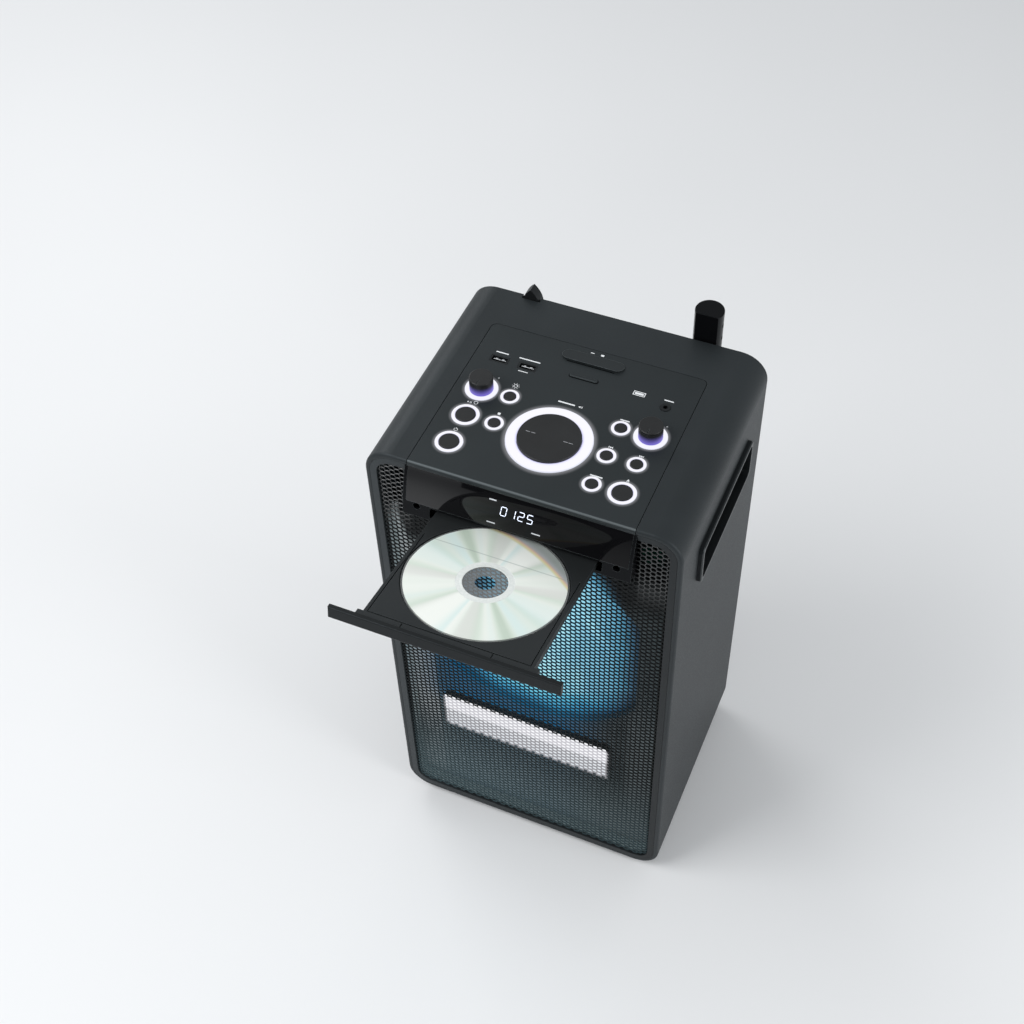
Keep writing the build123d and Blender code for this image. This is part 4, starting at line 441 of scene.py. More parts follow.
def lit_speaker(name, base, bright):
    """Speaker pieces in blue light, brightest to the right of the tray."""
    nodes = Nodes(name)
    lit = speaker_light(nodes, speaker_glow(nodes))
    nodes.feed("Emission Color", lit)
    nodes.feed("Base Color", nodes.mottled(300, 3, scaled(base, 0.8), base))
    nodes.set(Emission_Strength=bright, Roughness=0.5)
    nodes.bump(nodes.noise(260, 4), 0.3, 0.3 * MM)
    return nodes.material


def plate_finish():
    """The plate round the speaker and lamps: teal plastic with painted light and shade: paler to the left, with
    a pale painted light on its left strip, painted shade near the top, a painted navy glow beside the lamps,
    and the speaker's blue light by the speaker.
    """
    nodes = Nodes("light_frame_finish")
    middle = centre("woofer_frame")
    x, _, z = nodes.parts()
    right = nodes.math("SUBTRACT", x, middle.x)
    # painted light: a pale strip on the left side, paler higher up
    left_strip = nodes.spread(right, -94 * MM, -90 * MM, 1.0, 0.0)
    low_part = nodes.spread(z, 70 * MM, 150 * MM, 1.0, 0.0)
    # painted shade: the plate goes near black towards the top, starting higher at the far left
    past_edge = nodes.math("MINIMUM", nodes.math("ADD", x, 103.6 * MM), 0.0)
    slanted = nodes.math("ADD", z, nodes.times(past_edge, 4.3))
    below_top_shade = nodes.spread(slanted, 350 * MM, 376 * MM, 1.0, 0.0)
    pale = nodes.times(left_strip, nodes.spread(z, 70 * MM, 130 * MM, 0.3, 1.0))
    pale = nodes.times(pale, below_top_shade)
    # painted light: the plate fades from dark on the right to teal on the left, with the fade shifted lower
    # down
    lit_toward_left = nodes.spread(nodes.math("SUBTRACT", right, nodes.times(low_part, 60 * MM)),
                               -120 * MM, 90 * MM, 1.0, 0.0)
    ground = nodes.blend(pale, nodes.blend(lit_toward_left, PLATE_DARK, PLATE_TEAL), PLATE_LIT_GREY)
    ground = nodes.blend(below_top_shade, scaled(PLATE_DARK, 0.1), ground)
    # painted light as a faint glow: on the left strip, on the right strip and low down
    left_light = nodes.times(pale, nodes.spread(z, 90 * MM, 165 * MM, 0.05, 0.15))
    right_strip = nodes.spread(right, 82 * MM, 92 * MM)
    right_light = nodes.times(right_strip, nodes.spread(z, 190 * MM, 250 * MM, 0.050, 0.008))
    low_light = nodes.spread(z, 40 * MM, 115 * MM, 0.055, 0.0)
    daylight = nodes.math("MAXIMUM", left_light, nodes.math("MAXIMUM", right_light, low_light))
    # painted light: a navy glow beside and above the lamps, below the woofer's middle, over a darker base
    off_middle = nodes.math("ABSOLUTE", nodes.math("ADD", right, 25 * MM), 0)
    beside = nodes.spread(off_middle, 40 * MM, 100 * MM, 1.0, 0.0)
    above_lamps = nodes.spread(z, 135 * MM, 168 * MM, 0.15, 1.0)
    below_middle = nodes.spread(z, middle.z - 60 * MM, middle.z, 1.0, 0.0)
    navy = nodes.times(beside, nodes.times(above_lamps, below_middle))
    ground = nodes.blend(navy, ground, scaled(PLATE_DARK, 0.2))
    fine = nodes.noise(900, 3)
    nodes.feed("Base Color", nodes.blend(nodes.spread(fine, 0.3, 0.7, 0.0, 0.15), ground, BLACK))
    glow = speaker_glow(nodes)
    spill = nodes.blend(navy, nodes.blend(daylight, BLACK, DIM_DAYLIGHT), PLATE_NAVY_SPILL)
    lit = nodes.blend(nodes.spread(glow, 0.0, 0.25), spill, speaker_light(nodes, glow))
    nodes.feed("Emission Color", lit)
    nodes.bump(fine, 0.2, 0.05 * MM, 0.3 * MM)
    nodes.set(Roughness=0.6, Emission_Strength=1.0)
    return nodes.material


def bezel_finish():
    """Charcoal plastic with painted light: paler towards the left and darker towards the right, and teal inside
    the opening behind the grille, painted like the lit plate in place of shade, with a faint painted glow.
    """
    nodes = Nodes("bezel_finish")
    low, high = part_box("front_grille")
    x, y, z = nodes.parts()
    # painted light: paler towards the left, darker towards the right
    lit_toward_left = nodes.spread(x, -60 * MM, -124 * MM, 0.0, 1.0)
    shaded_toward_right = nodes.spread(x, 100 * MM, 116 * MM)
    front = nodes.blend(lit_toward_left, nodes.blend(shaded_toward_right, scaled(CHARCOAL, 0.75), scaled(CHARCOAL, 0.3)),
                        scaled(CHARCOAL, 1.7))
    # painted light: the inner wall behind the grille, up to near the top, is teal like the lit plate in place
    # of its shade, with a faint painted glow that is stronger at the far left
    within = nodes.spread(nodes.math("ABSOLUTE", x, 0), high[0] + 0.4 * MM, high[0] + 0.8 * MM, 1.0, 0.0)
    over = nodes.spread(z, low[2] - 0.8 * MM, low[2] - 0.4 * MM)
    behind = nodes.spread(y, high[1], high[1] + 0.6 * MM)
    inner = nodes.times(behind, nodes.times(within, over))
    inner = nodes.times(inner, nodes.spread(z, 385 * MM, 415 * MM, 1.0, 0.0))
    nodes.feed("Base Color", nodes.blend(inner, front, PLATE_TEAL))
    far_left = nodes.spread(x, -100 * MM, -114 * MM)
    side_light = nodes.times(far_left, nodes.spread(z, 60 * MM, 165 * MM, 0.0, 0.10))
    daylight = nodes.times(inner, nodes.math("ADD", side_light, 0.03))
    nodes.feed("Emission Color", nodes.blend(daylight, BLACK, DIM_DAYLIGHT))
    fine = nodes.noise(1800, 3)
    nodes.feed("Roughness", nodes.spread(fine, 0.3, 0.7, 0.40, 0.52))
    nodes.bump(fine, 0.3, 0.08 * MM, 0.6 * MM)
    nodes.set(Specular_IOR_Level=0.30, Specular_Tint=COOL_SHEEN, Emission_Strength=1.0)
    return nodes.material


def screw_finish():
    """Blackened steel. The screws of the woofer take its light."""
    nodes = Nodes("screw_finish")
    glow = speaker_glow(nodes)
    glow = nodes.times(glow, nodes.spread(nodes.parts()[1], 40 * MM, 60 * MM, 1.0, 0.0))
    nodes.feed("Emission Color", nodes.blend(nodes.spread(glow, 0.0, 0.1), BLACK, speaker_light(nodes, glow)))
    nodes.feed("Base Color", nodes.mottled(400, 3, (0.040, 0.040, 0.042), (0.055, 0.055, 0.057)))
    nodes.set(Metallic=0.8, Roughness=0.35, Emission_Strength=1.0)
    return nodes.material


def grille_finish():
    """Black painted steel with painted light: a painted teal reflection in the lower part, a painted wash of
    light from the lamps, the speaker's blue light, and painted glints in the top corners.
    """
    nodes = Nodes("grille_finish")
    x, _, z = nodes.parts()
    # painted reflection: the lower strands go teal, less so towards the right
    lower_reflection = nodes.spread(z, 20 * MM, 165 * MM, 1.0, 0.0)
    leftward = nodes.spread(x, -110 * MM, 70 * MM, 1.0, 0.75)
    cloud = nodes.blend(nodes.noise(30, 3), scaled(MESH_BLACK, 0.7), scaled(MESH_BLACK, 1.3))
    ground = nodes.blend(nodes.times(lower_reflection, leftward), cloud, MESH_REFLECTED_TEAL)
    outer = nodes.spread(nodes.math("ABSOLUTE", x, 0), 88 * MM, 96 * MM)
    glint = nodes.times(nodes.spread(z, 380 * MM, 425 * MM), outer)
    nodes.feed("Base Color", nodes.blend(glint, ground, MESH_GLINT))
    nodes.feed("Roughness", nodes.spread(glint, 0.0, 1.0, 0.55, 0.25))
    nodes.feed("Specular IOR Level", nodes.spread(glint, 0.0, 1.0, 0.15, 0.60))
    low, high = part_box("led_bar")
    soft = 2 * MM
    rise, sidle = 8 * MM, 3 * MM
    left, right = low[0] + sidle, high[0] + sidle
    bottom, split, top = low[2] + rise, low[2] + rise + 0.58 * (high[2] - low[2]), high[2] + rise
    past_left = nodes.spread(x, left - soft, left + soft)
    across = nodes.times(past_left, nodes.spread(x, right - soft, right + soft, 1.0, 0.0))
    past_bottom = nodes.spread(z, bottom - soft, bottom + soft)
    band = nodes.times(past_bottom, nodes.spread(z, top - soft, top + soft, 1.0, 0.0))
    bright = nodes.spread(z, split - soft, split + soft, 0.32, 0.60)
    wash = nodes.times(bright, nodes.times(across, band))
    # painted light: the speaker's blue light on the strands
    blue = nodes.blend(speaker_glow(nodes), BLACK, STRAND_BLUE_SPILL)
    nodes.feed("Emission Color", nodes.blend(wash, blue, LIT_WHITE))
    nodes.set(Emission_Strength=1.0)
    return nodes.material


def lamp_finish():
    """The lamp tray: its face is lit, brightest in the upper band, over a paler, uneven field."""
    nodes = Nodes("lamp_white_finish")
    low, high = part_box("led_bar")
    _, y, z = nodes.parts()
    height = nodes.spread(z, low[2], high[2])
    uneven = nodes.math("ADD", height, nodes.times(nodes.noise(85, 2), 0.10))
    lit = nodes.ramp(uneven, [(0.0, (0.72, 0.77, 0.82)), (0.60, (0.86, 0.89, 0.93)),
                              (0.72, (0.96, 0.97, 1.0))])
    face = nodes.spread(y, low[1] + 0.8 * MM, low[1] + 1.6 * MM, 1.0, 0.0)
    nodes.feed("Emission Color", nodes.blend(face, BLACK, lit))
    nodes.feed("Base Color", nodes.mottled(500, 2, (0.04, 0.04, 0.04), (0.05, 0.05, 0.05)))
    nodes.set(Emission_Strength=1.0, Roughness=0.4)
    return nodes.material


def board_finish(name, color):
    """Solder-masked board with faint tracks."""
    nodes = Nodes(name)
    wave = nodes.tree.nodes.new("ShaderNodeTexWave")
    wave.inputs["Scale"].default_value = 120
    wave.inputs["Distortion"].default_value = 9
    nodes.link(nodes.place(), wave.inputs["Vector"])
    tracks = nodes.ramp(wave.outputs["Fac"], [(0.45, color), (0.55, scaled(color, 1.7))])
    nodes.feed("Base Color", tracks)
    nodes.bump(wave.outputs["Fac"], 0.1, 0.05 * MM)
    nodes.set(Roughness=0.4)
    return nodes.material


def wood_finish():
    """Raw fibreboard, painted dark on the front."""
    nodes = Nodes("baffle_finish")
    fibre = nodes.noise(420, 6)
    nodes.feed("Base Color", nodes.ramp(fibre, [(0.3, (0.012, 0.012, 0.013)), (0.7, (0.020, 0.019, 0.019))]))
    nodes.bump(fibre, 0.3, 0.1 * MM)
    nodes.set(Roughness=0.8)
    return nodes.material


FINISHES = {
    "cabinet_shell": moulded("shell_finish", CHARCOAL, 0.50, grain=0.45, grain_scale=1400, edge=0.6 * MM),
    "front_bezel": bezel_finish(),
    "rear_panel": moulded("rear_finish", scaled(CHARCOAL, 0.8), 0.55, grain=0.5, grain_scale=1100),
    "handle": moulded("handle_finish", scaled(CHARCOAL, 0.5), 0.34, grain=0.15, edge=0.7 * MM, edge_highlight=0.7),
    "control_panel": panel_finish(),
    "rest": moulded("rest_finish", scaled(PANEL_GREY, 0.85), 0.46, grain=0.15, edge=0.6 * MM, edge_highlight=1.0),
    "black": moulded("black_finish", SOFT_BLACK, 0.42),
    "tray": moulded("tray_finish", TRAY_GREY, 0.44, grain=0.2, edge=0.3 * MM, edge_highlight=0.6),
    "fascia": moulded("fascia_finish", scaled(TRAY_GREY, 0.45), 0.36, grain=0.12, edge=0.4 * MM, edge_highlight=0.35,
                      specular=0.25),
    "unit": moulded("unit_finish", GLOSS_BLACK, 0.26, grain=0.05, edge=0.5 * MM, edge_highlight=0.7, specular=0.10),
    "gloss": moulded("gloss_finish", GLOSS_BLACK, 0.24, grain=0.03, edge=0.5 * MM, specular=0.12),
    "window": window_finish(),
    "rubber": moulded("rubber_finish", (0.010, 0.010, 0.010), 0.75, grain=0.5, grain_scale=900),
    "rings": ring_finish(),
    "buttons": knob_finish("button_finish", PANEL_TOP - 1.0 * MM, 1.8 * MM, 0.18),
    "dial": knob_finish("dial_finish", PANEL_TOP - 1.5 * MM, 3.2 * MM, 0.3),
    "knobs": knob_finish("knob_finish", PANEL_TOP + 0.4 * MM, 9.5 * MM, 1.0),
    "speaker": lit_speaker("speaker_light_finish", (0.02, 0.02, 0.025), 1.0),
    "plate": plate_finish(),
    "lamp": lamp_finish(),
    "board": board_finish("board_finish", (0.012, 0.070, 0.035)),
    "gear": moulded("gear_finish", (0.70, 0.69, 0.63), 0.45, grain=0.1),
    "steel": metal("steel_finish", (0.50, 0.50, 0.51), 0.32),
    "motor": metal("motor_finish", (0.42, 0.42, 0.43), 0.38),
    "ferrite": moulded("ferrite_finish", (0.03, 0.03, 0.032), 0.6, grain=0.5),
    "wood": wood_finish(),
    "battery": moulded("battery_finish", (0.02, 0.05, 0.22), 0.35, grain=0.05, coat=0.3),
    "casing": metal("casing_finish", (0.55, 0.56, 0.57), 0.35),
    "screw": screw_finish(),
}
NODE_FINISH = {
    "cabinet_shell": "cabinet_shell", "front_bezel": "front_bezel", "rear_panel": "rear_panel",
    "handle_left": "handle", "handle_right": "handle", "control_panel": "control_panel",
    "device_rest": "rest", "disc_tray": "tray", "tray_fascia": "fascia", "tray_bay_frame": "unit",
    "display_window": "window", "rubber_feet": "rubber", "light_rings": "rings", "volume_dial": "dial",
    "woofer_frame": "speaker", "woofer_cone": "speaker", "dust_cap": "speaker", "woofer_surround": "speaker",
    "glow_ring": "speaker", "light_frame": "plate", "led_bar": "lamp", "control_board": "board",
    "display_module": "board", "amplifier_board": "board", "tray_gear": "gear", "motor_pinion": "gear",
    "sled_rails": "steel", "loading_motor": "motor", "spindle_motor": "motor", "woofer_magnet": "ferrite",
    "speaker_baffle": "wood", "battery_pack": "battery", "power_supply": "casing", "screws": "screw",
    "socket_plate": "gloss", "microphone_post": "gloss", "microphone_hook": "black",
}
NODE_FINISH.update({name: "buttons" for name in BUTTONS})
NODE_FINISH.update({name: "knobs" for name in KNOBS})


def dress_nodes():
    for name, node in NODES.items():
        finish = FINISHES[NODE_FINISH.get(name, "black")]
        for slot in node.material_slots:
            slot.material = finish


# ---------------------------------------------------------------- mesh helpers
def add_object(name, mesh, material, body):
    piece = bpy.data.objects.new(name, mesh)
    bpy.context.collection.objects.link(piece)
    for finish in material if isinstance(material, list) else [material]:
        mesh.materials.append(finish)
    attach(piece, body)
    return piece


def mesh_from(name, points, faces, smooth=False):
    mesh = bpy.data.meshes.new(name)
    mesh.from_pydata(points, [], faces)
    mesh.validate()
    mesh.update()
    if smooth:
        mesh.shade_smooth()
    return mesh


# ---------------------------------------------------------------- perforated grille
def grille():
    """A perforated sheet: a hexagonal hole in each cell of a honeycomb."""
    low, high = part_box("front_grille")
    notch_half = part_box("tray_bay_frame")[1][0]
    notch_low = notch_floor()
    front, back = low[1], high[1]
    cell = HOLE_PITCH / sqrt(3)
    corners = [(cos(pi / 3 * k), sin(pi / 3 * k)) for k in range(6)]
    points, faces, welded = [], [], {}

    def corner_point(x, y, z):
        key = (round(x / (0.01 * MM)), y, round(z / (0.01 * MM)))
        if key not in welded:
            welded[key] = len(points)
            points.append((x, y, z))
        return welded[key]

    def inside(x, z):
        half = high[0] + 0.3 * HOLE_PITCH
        if abs(x) > half or not low[2] - 0.3 * HOLE_PITCH < z < high[2] + 0.3 * HOLE_PITCH:
            return False
        if z > notch_low + 0.4 * HOLE_PITCH and abs(x) < notch_half - 0.25 * HOLE_PITCH:
            return False
        reach_x = abs(x) - (high[0] - GRILLE_CORNER)
        reach_z = abs(z - (low[2] + high[2]) / 2) - ((high[2] - low[2]) / 2 - GRILLE_CORNER)
        return min(reach_x, reach_z) < 0 or sqrt(reach_x**2 + reach_z**2) < GRILLE_CORNER + 0.3 * HOLE_PITCH

    column_step = 1.5 * cell
    columns = int(high[0] / column_step) + 2
    rows = int((high[2] - low[2]) / HOLE_PITCH) + 3
    rounded = HOLE_RADIUS + GRILLE_EDGE_ROUND
    for column in range(-columns, columns + 1):
        for row in range(rows):
            x = column * column_step
            z = low[2] + (row + 0.5 * (column % 2)) * HOLE_PITCH
            if not inside(x, z):
                continue
            rings = []
            for radius, y in ((cell, front), (rounded, front), (HOLE_RADIUS, front + GRILLE_EDGE_ROUND),
                              (HOLE_RADIUS, back), (cell, back)):
                rings.append([corner_point(x + radius * c, y, z + radius * s) for c, s in corners])
            for inner, outer in zip(rings, rings[1:]):
                for k in range(6):
                    faces.append((inner[k], inner[(k + 1) % 6], outer[(k + 1) % 6], outer[k]))
    mesh = mesh_from("perforated_grille", points, faces)
    piece = add_object("perforated_grille", mesh, grille_finish(), "cabinet")
    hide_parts("front_grille")


def notch_floor():
    """Height of the grille's notch for the tray unit: the lowest point of the unit behind the grille."""
    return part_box("tray_bay_frame")[0][2] + 0.5 * MM


# ---------------------------------------------------------------- tray space
TRAY_AXIS = Vector(JOINTS["tray_slide"]["axis"])
TRAY_OUT = -TRAY_AXIS
TRAY_UP = Vector((1, 0, 0)).cross(TRAY_AXIS)
TILT = atan2(-TRAY_AXIS.z, TRAY_AXIS.y)
DISC_MIDDLE = centre("compact_disc")


def disc_points(radii_heights, segments):
    """Rings of points about the disc's axis, from a list of (radius, height)."""
    points = []
    for radius, height in radii_heights:
        for k in range(segments):
            angle = 2 * pi * k / segments
            flat = Vector((1, 0, 0)) * cos(angle) + TRAY_OUT * sin(angle)
            points.append(DISC_MIDDLE + flat * radius + TRAY_UP * height)
    return points


def disc_place(nodes):
    """Places on the disc: right of its middle, and from its middle towards the machine."""
    local = nodes.tree.nodes.new("ShaderNodeVectorMath")
    local.operation = "SUBTRACT"
    nodes.link(nodes.place(), local.inputs[0])
    local.inputs[1].default_value = DISC_MIDDLE
    turned = nodes.tree.nodes.new("ShaderNodeMapping")
    turned.inputs["Rotation"].default_value = (TILT, 0, 0)
    nodes.link(local.outputs["Vector"], turned.inputs["Vector"])
    return turned.outputs["Vector"]


def fan_pairs(nodes, right, inward):
    """Twice the direction from the disc's middle, as a vector: the same on opposite sides, as the fans are."""
    across = nodes.math("POWER", right, 2)
    along = nodes.math("POWER", inward, 2)
    reach = nodes.math("ADD", across, along)
    doubled = nodes.tree.nodes.new("ShaderNodeCombineXYZ")
    nodes.link(nodes.math("DIVIDE", nodes.math("SUBTRACT", across, along), reach), doubled.inputs["X"])
    both = nodes.times(nodes.times(right, inward), 2)
    nodes.link(nodes.math("DIVIDE", both, reach), doubled.inputs["Y"])
    return doubled.outputs["Vector"]


def fan_colours(nodes, right, inward):
    """Soft fans of light off the grooves, in opposed pairs, and one brighter pair."""
    pairs = fan_pairs(nodes, right, inward)
    shades = [(0.36, DISC_LEAF), (0.44, DISC_MINT), (0.53, DISC_PALE), (0.64, DISC_WHITE)]
    fan = nodes.ramp(nodes.noise(1.1, 1, pairs), shades)
    hue = nodes.noise(0.8, 1, pairs)
    fan = nodes.blend(nodes.spread(hue, 0.52, 0.62, 0.0, 0.7), fan, DISC_SKY)
    fan = nodes.blend(nodes.spread(hue, 0.38, 0.47, 0.6, 0.0), fan, DISC_ROSE)
    turn = radians(2 * BRIGHT_FAN_TURN)
    east, north, _ = nodes.parts(pairs)
    toward = nodes.math("ADD", nodes.times(east, cos(turn)), nodes.times(north, sin(turn)))
    return nodes.blend(nodes.spread(toward, 0.82, 0.99), fan, DISC_WHITE)


def silver_finish():
    """Silver programme area in painted light: pale painted fans of light, a thin painted rainbow, and a painted
    reflection of the dark cabinet beyond it.
    """
    nodes = Nodes("disc_silver_finish")
    right, inward, _ = nodes.parts(disc_place(nodes))
    fan = fan_colours(nodes, right, inward)
    bend = nodes.times(nodes.math("POWER", right, 2), MIRROR_BEND)
    lean = nodes.math("ADD", inward, nodes.times(right, MIRROR_LEAN))
    arc = nodes.math("ADD", bend, lean)
    rainbow = nodes.ramp(nodes.spread(arc, 48 * MM, 60 * MM), RAINBOW)
    mirrored = nodes.blend(nodes.spread(arc, 49 * MM, 51.5 * MM, 0.0, 0.9), fan, rainbow)
    off_line = nodes.math("ABSOLUTE", nodes.math("SUBTRACT", inward, MIRROR_LINE), 0)
    line = nodes.spread(off_line, 0.25 * MM, 0.75 * MM, 0.45, 0.0)
    nodes.feed("Base Color", nodes.blend(line, mirrored, MIRROR_GREY))
    nodes.set(Metallic=0.12, Roughness=0.30, Coat_Weight=0.5, Coat_Roughness=0.02)
    return nodes.material


def disc_finishes():
    """The disc's silver area, its pale clamping band, and clear polycarbonate."""
    band = Nodes("disc_band_finish")
    band.feed("Base Color", band.mottled(500, 2, (0.66, 0.70, 0.68), (0.74, 0.77, 0.75)))
    band.set(Roughness=0.3, Coat_Weight=0.5, Coat_Roughness=0.05)

    clear = Nodes("disc_clear_finish")
    clear.feed("Base Color", clear.mottled(200, 2, (0.20, 0.21, 0.21), (0.24, 0.25, 0.25)))
    clear.set(Roughness=0.06, Alpha=0.45, IOR=1.58)
    return [silver_finish(), band.material, clear.material]


def compact_disc():
    """The disc as one turned body: clear hub with a stacking ring, pale band, silver area and clear rim."""
    half = DISC_THICKNESS / 2
    hub_mid = (DISC_HOLE_RADIUS + CLEAR_HUB_RADIUS) / 2
    edge = 0.12 * MM
    profile = [
        (DISC_HOLE_RADIUS + edge, half, 2), (hub_mid, half, 2), (CLEAR_HUB_RADIUS - 0.5 * MM, half, 1),
        (CLEAR_HUB_RADIUS, half + edge, 1), (CLEAR_HUB_RADIUS + 0.6 * MM, half + edge, 1),
        (CLEAR_HUB_RADIUS + 1.1 * MM, half, 1), (PALE_BAND_RADIUS - 0.6 * MM, half, 1),
        (PALE_BAND_RADIUS - 0.4 * MM, half - edge, 1), (PALE_BAND_RADIUS, half, 0), (PROGRAMME_RADIUS, half, 2),
        (DISC_RADIUS - edge, half, 2), (DISC_RADIUS, half - edge, 2), (DISC_RADIUS, edge - half, 2),
        (DISC_RADIUS - edge, -half, 2), (PROGRAMME_RADIUS, -half, 0), (PALE_BAND_RADIUS, -half, 1),
        (CLEAR_HUB_RADIUS, -half, 2), (DISC_HOLE_RADIUS + edge, -half, 2), (DISC_HOLE_RADIUS, edge - half, 2),
        (DISC_HOLE_RADIUS, half - edge, 2),
    ]
    segments = 160
    points = disc_points([(radius, height) for radius, height, _ in profile], segments)
    faces, kinds = [], []
    for ring, (_, _, kind) in enumerate(profile):
        following = (ring + 1) % len(profile)
        for k in range(segments):
            after = (k + 1) % segments
            a, b = ring * segments, following * segments
            faces.append((a + k, b + k, b + after, a + after))
            kinds.append(kind)
    mesh = mesh_from("silver_disc", points, faces)
    piece = add_object("silver_disc", mesh, disc_finishes(), "tray")
    for polygon, kind in zip(mesh.polygons, kinds):
        polygon.material_index = kind
    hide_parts("compact_disc")


# ---------------------------------------------------------------- flat marks
def flat_marks(name, outlines, to_place, material, body):
    """Thin ink or lit shapes. outlines are lists of (x, y) in millimetres, and to_place puts one in place."""
    points, faces = [], []
    for outline in outlines:
        start = len(points)
        points += [to_place(x * MM, y * MM) for x, y in outline]
        faces.append(tuple(range(start, len(points))))
    return add_object(name, mesh_from(name, points, faces), material, body)


def rectangle(x, y, width, height):
    w, h = width / 2, height / 2
    return [(x - w, y - h), (x + w, y - h), (x + w, y + h), (x - w, y + h)]


def triangle(x, y, size, turn):
    """An arrowhead that points along the angle turn, in degrees."""
    return [(x + size * cos(radians(turn + a)), y + size * sin(radians(turn + a))) for a in (0, 120, 240)]


def arc_band(x, y, radius, width, start, end, steps=16):
    """A piece of a ring, as a list of four-cornered patches."""
    patches = []
    for k in range(steps):
        a, b = (radians(start + (end - start) * step / steps) for step in (k, k + 1))
        inner, outer = radius - width / 2, radius + width / 2
        patches.append([(x + inner * cos(a), y + inner * sin(a)), (x + outer * cos(a), y + outer * sin(a)),
                        (x + outer * cos(b), y + outer * sin(b)), (x + inner * cos(b), y + inner * sin(b))])
    return patches


def panel_place(x, y):
    """A place on the control panel, x from the middle and y from the cabinet's front."""
    return (x, FRONT_Y + y, PANEL_TOP + 0.04 * MM)


def sun_sign(x, y):
    sign = arc_band(x, y, 1.5, 0.45, 0, 360)
    for k in range(8):
        a = pi / 4 * k
        c, s = cos(a), sin(a)
        near, far, w = 2.2, 3.1, 0.18
        sign.append([(x + near * c - w * s, y + near * s + w * c), (x + near * c + w * s, y + near * s - w * c),
                     (x + far * c + w * s, y + far * s - w * c), (x + far * c - w * s, y + far * s + w * c)])
    return sign


def panel_marks():
    """Plain signs by the controls, and short bars where the machine has words."""
    marks = sun_sign(-45.2, 101.0)
    marks += [triangle(-72.2, 72.4, 1.0, 0), rectangle(-70.4, 72.4, 0.4, 1.7), rectangle(-69.6, 72.4, 0.4, 1.7)]
    marks += arc_band(-66.2, 73.4, 1.5, 0.4, 0, 360)
    marks += [rectangle(-45.2, 69.3, 2.2, 2.2)]
    marks += arc_band(-68.9, 42.6, 1.4, 0.35, 120, 420) + [rectangle(-68.9, 43.9, 0.35, 1.5)]
    for x, y, side in ((45.3, 68.2, -1), (68.6, 67.8, 1)):
        turn = 90 - 90 * side
        marks += [triangle(x - 0.8 * side, y, 1.0, turn), triangle(x + 0.7 * side, y, 1.0, turn)]
        marks += [rectangle(x + 1.9 * side, y, 0.4, 1.7)]
    marks += [triangle(68.3, 42.2, 1.3, 90), rectangle(68.3, 40.9, 2.4, 0.5)]
    for x, y in ((-66.2, 104.4), (71.2, 103.4)):
        marks += [rectangle(x, y, 1.5, 0.35)]
    for x, y in ((-60.6, 104.2), (76.4, 103.0)):
        marks += [rectangle(x, y, 1.4, 0.35), rectangle(x, y, 0.35, 1.4)]
    bars = [(-69.0, 130.8, 10.4, 1.1), (-46.0, 130.8, 17.5, 1.1), (-2.2, 98.2, 13.5, 1.3),
            (45.2, 97.4, 7.4, 1.1), (45.4, 37.4, 9.6, 1.1), (68.8, 128.8, 7.6, 1.1),
            (-46.2, 117.4, 8.0, 0.7), (-3.7, 156.3, 3.0, 0.8), (4.6, 156.3, 2.6, 1.8)]
    marks += [rectangle(*bar) for bar in bars]
    marks += [triangle(8.4, 98.2, 1.1, 180), rectangle(9.5, 98.2, 0.4, 1.6), rectangle(10.4, 98.2, 0.35, 2.2)]
    ink = flat_print("panel_ink", PRINT_WHITE)
    flat_marks("panel_signs", marks, panel_place, ink, "cabinet")
    badge = [rectangle(45.3, 127.8 + 1.95 * side, 9.6, 0.6) for side in (-1, 1)]
    badge += [rectangle(45.3 + 4.5 * side, 127.8, 0.6, 3.3) for side in (-1, 1)]
    badge += [rectangle(45.3, 127.8, 7.0, 2.1)]
    flat_marks("blank_badge", badge, panel_place, ink, "cabinet")


def dial_marks():
    """Two broken lines on the volume dial."""
    middle = centre("volume_dial")
    height = top_of("volume_dial") + 0.03 * MM

    def dial_place(x, y):
        return (middle.x + x, middle.y + y, height)

    dashes = [rectangle(x, 0, 3.4, 0.45) for x in (-17.1, -12.9, 12.9, 17.1)]
    ink = flat_print("dial_ink", (0.35, 0.36, 0.38))
    flat_marks("dial_marks", dashes, dial_place, ink, "volume_wheel")


def rounded_outline(x, y, width, length, corner, steps=6):
    """Points round a rectangle with round corners."""
    points = []
    for turn, side_x, side_y in ((0, 1, 1), (90, -1, 1), (180, -1, -1), (270, 1, -1)):
        middle_x, middle_y = x + side_x * (width / 2 - corner), y + side_y * (length / 2 - corner)
        for step in range(steps + 1):
            angle = radians(turn + 90 * step / steps)
            points.append((middle_x + corner * cos(angle), middle_y + corner * sin(angle)))
    return points


def stop_shadow_marks():
    """A painted contact shadow round the device stop."""
    inner = rounded_outline(*STOP_SHAPE)
    x, y, width, length, corner = STOP_SHAPE
    outer = rounded_outline(x, y, width + 1.4, length + 1.4, corner + 0.7)
    patches = []
    for k in range(len(inner)):
        after = (k + 1) % len(inner)
        patches.append([inner[k], inner[after], outer[after], outer[k]])
    ink = flat_print("seam_shadow", (0.0020, 0.0025, 0.0030), specular=0.02)
    flat_marks("stop_contact_shadow", patches, panel_place, ink, "cabinet")


def port_marks():
    """The pale plastic line and contacts on each USB tongue."""
    low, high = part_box("usb_ports")
    row = (low[1] + high[1]) / 2 / MM - FRONT_Y / MM
    height = PANEL_TOP - 1.15 * MM

    def tongue_place(x, y):
        return (x, FRONT_Y + y, height)

    half = PORT_BODY_WIDTH / 2
    patches = []
    for x in (low[0] / MM + half, high[0] / MM - half):
        patches.append(rectangle(x, row + 0.45, 10.4, 0.5))
        patches += [rectangle(x + side * 2.6, row + 1.3, 1.8, 0.7) for side in (-1, 1)]
    ink = flat_print("tongue_line", (0.62, 0.64, 0.66))
    flat_marks("port_tongues", patches, tongue_place, ink, "cabinet")


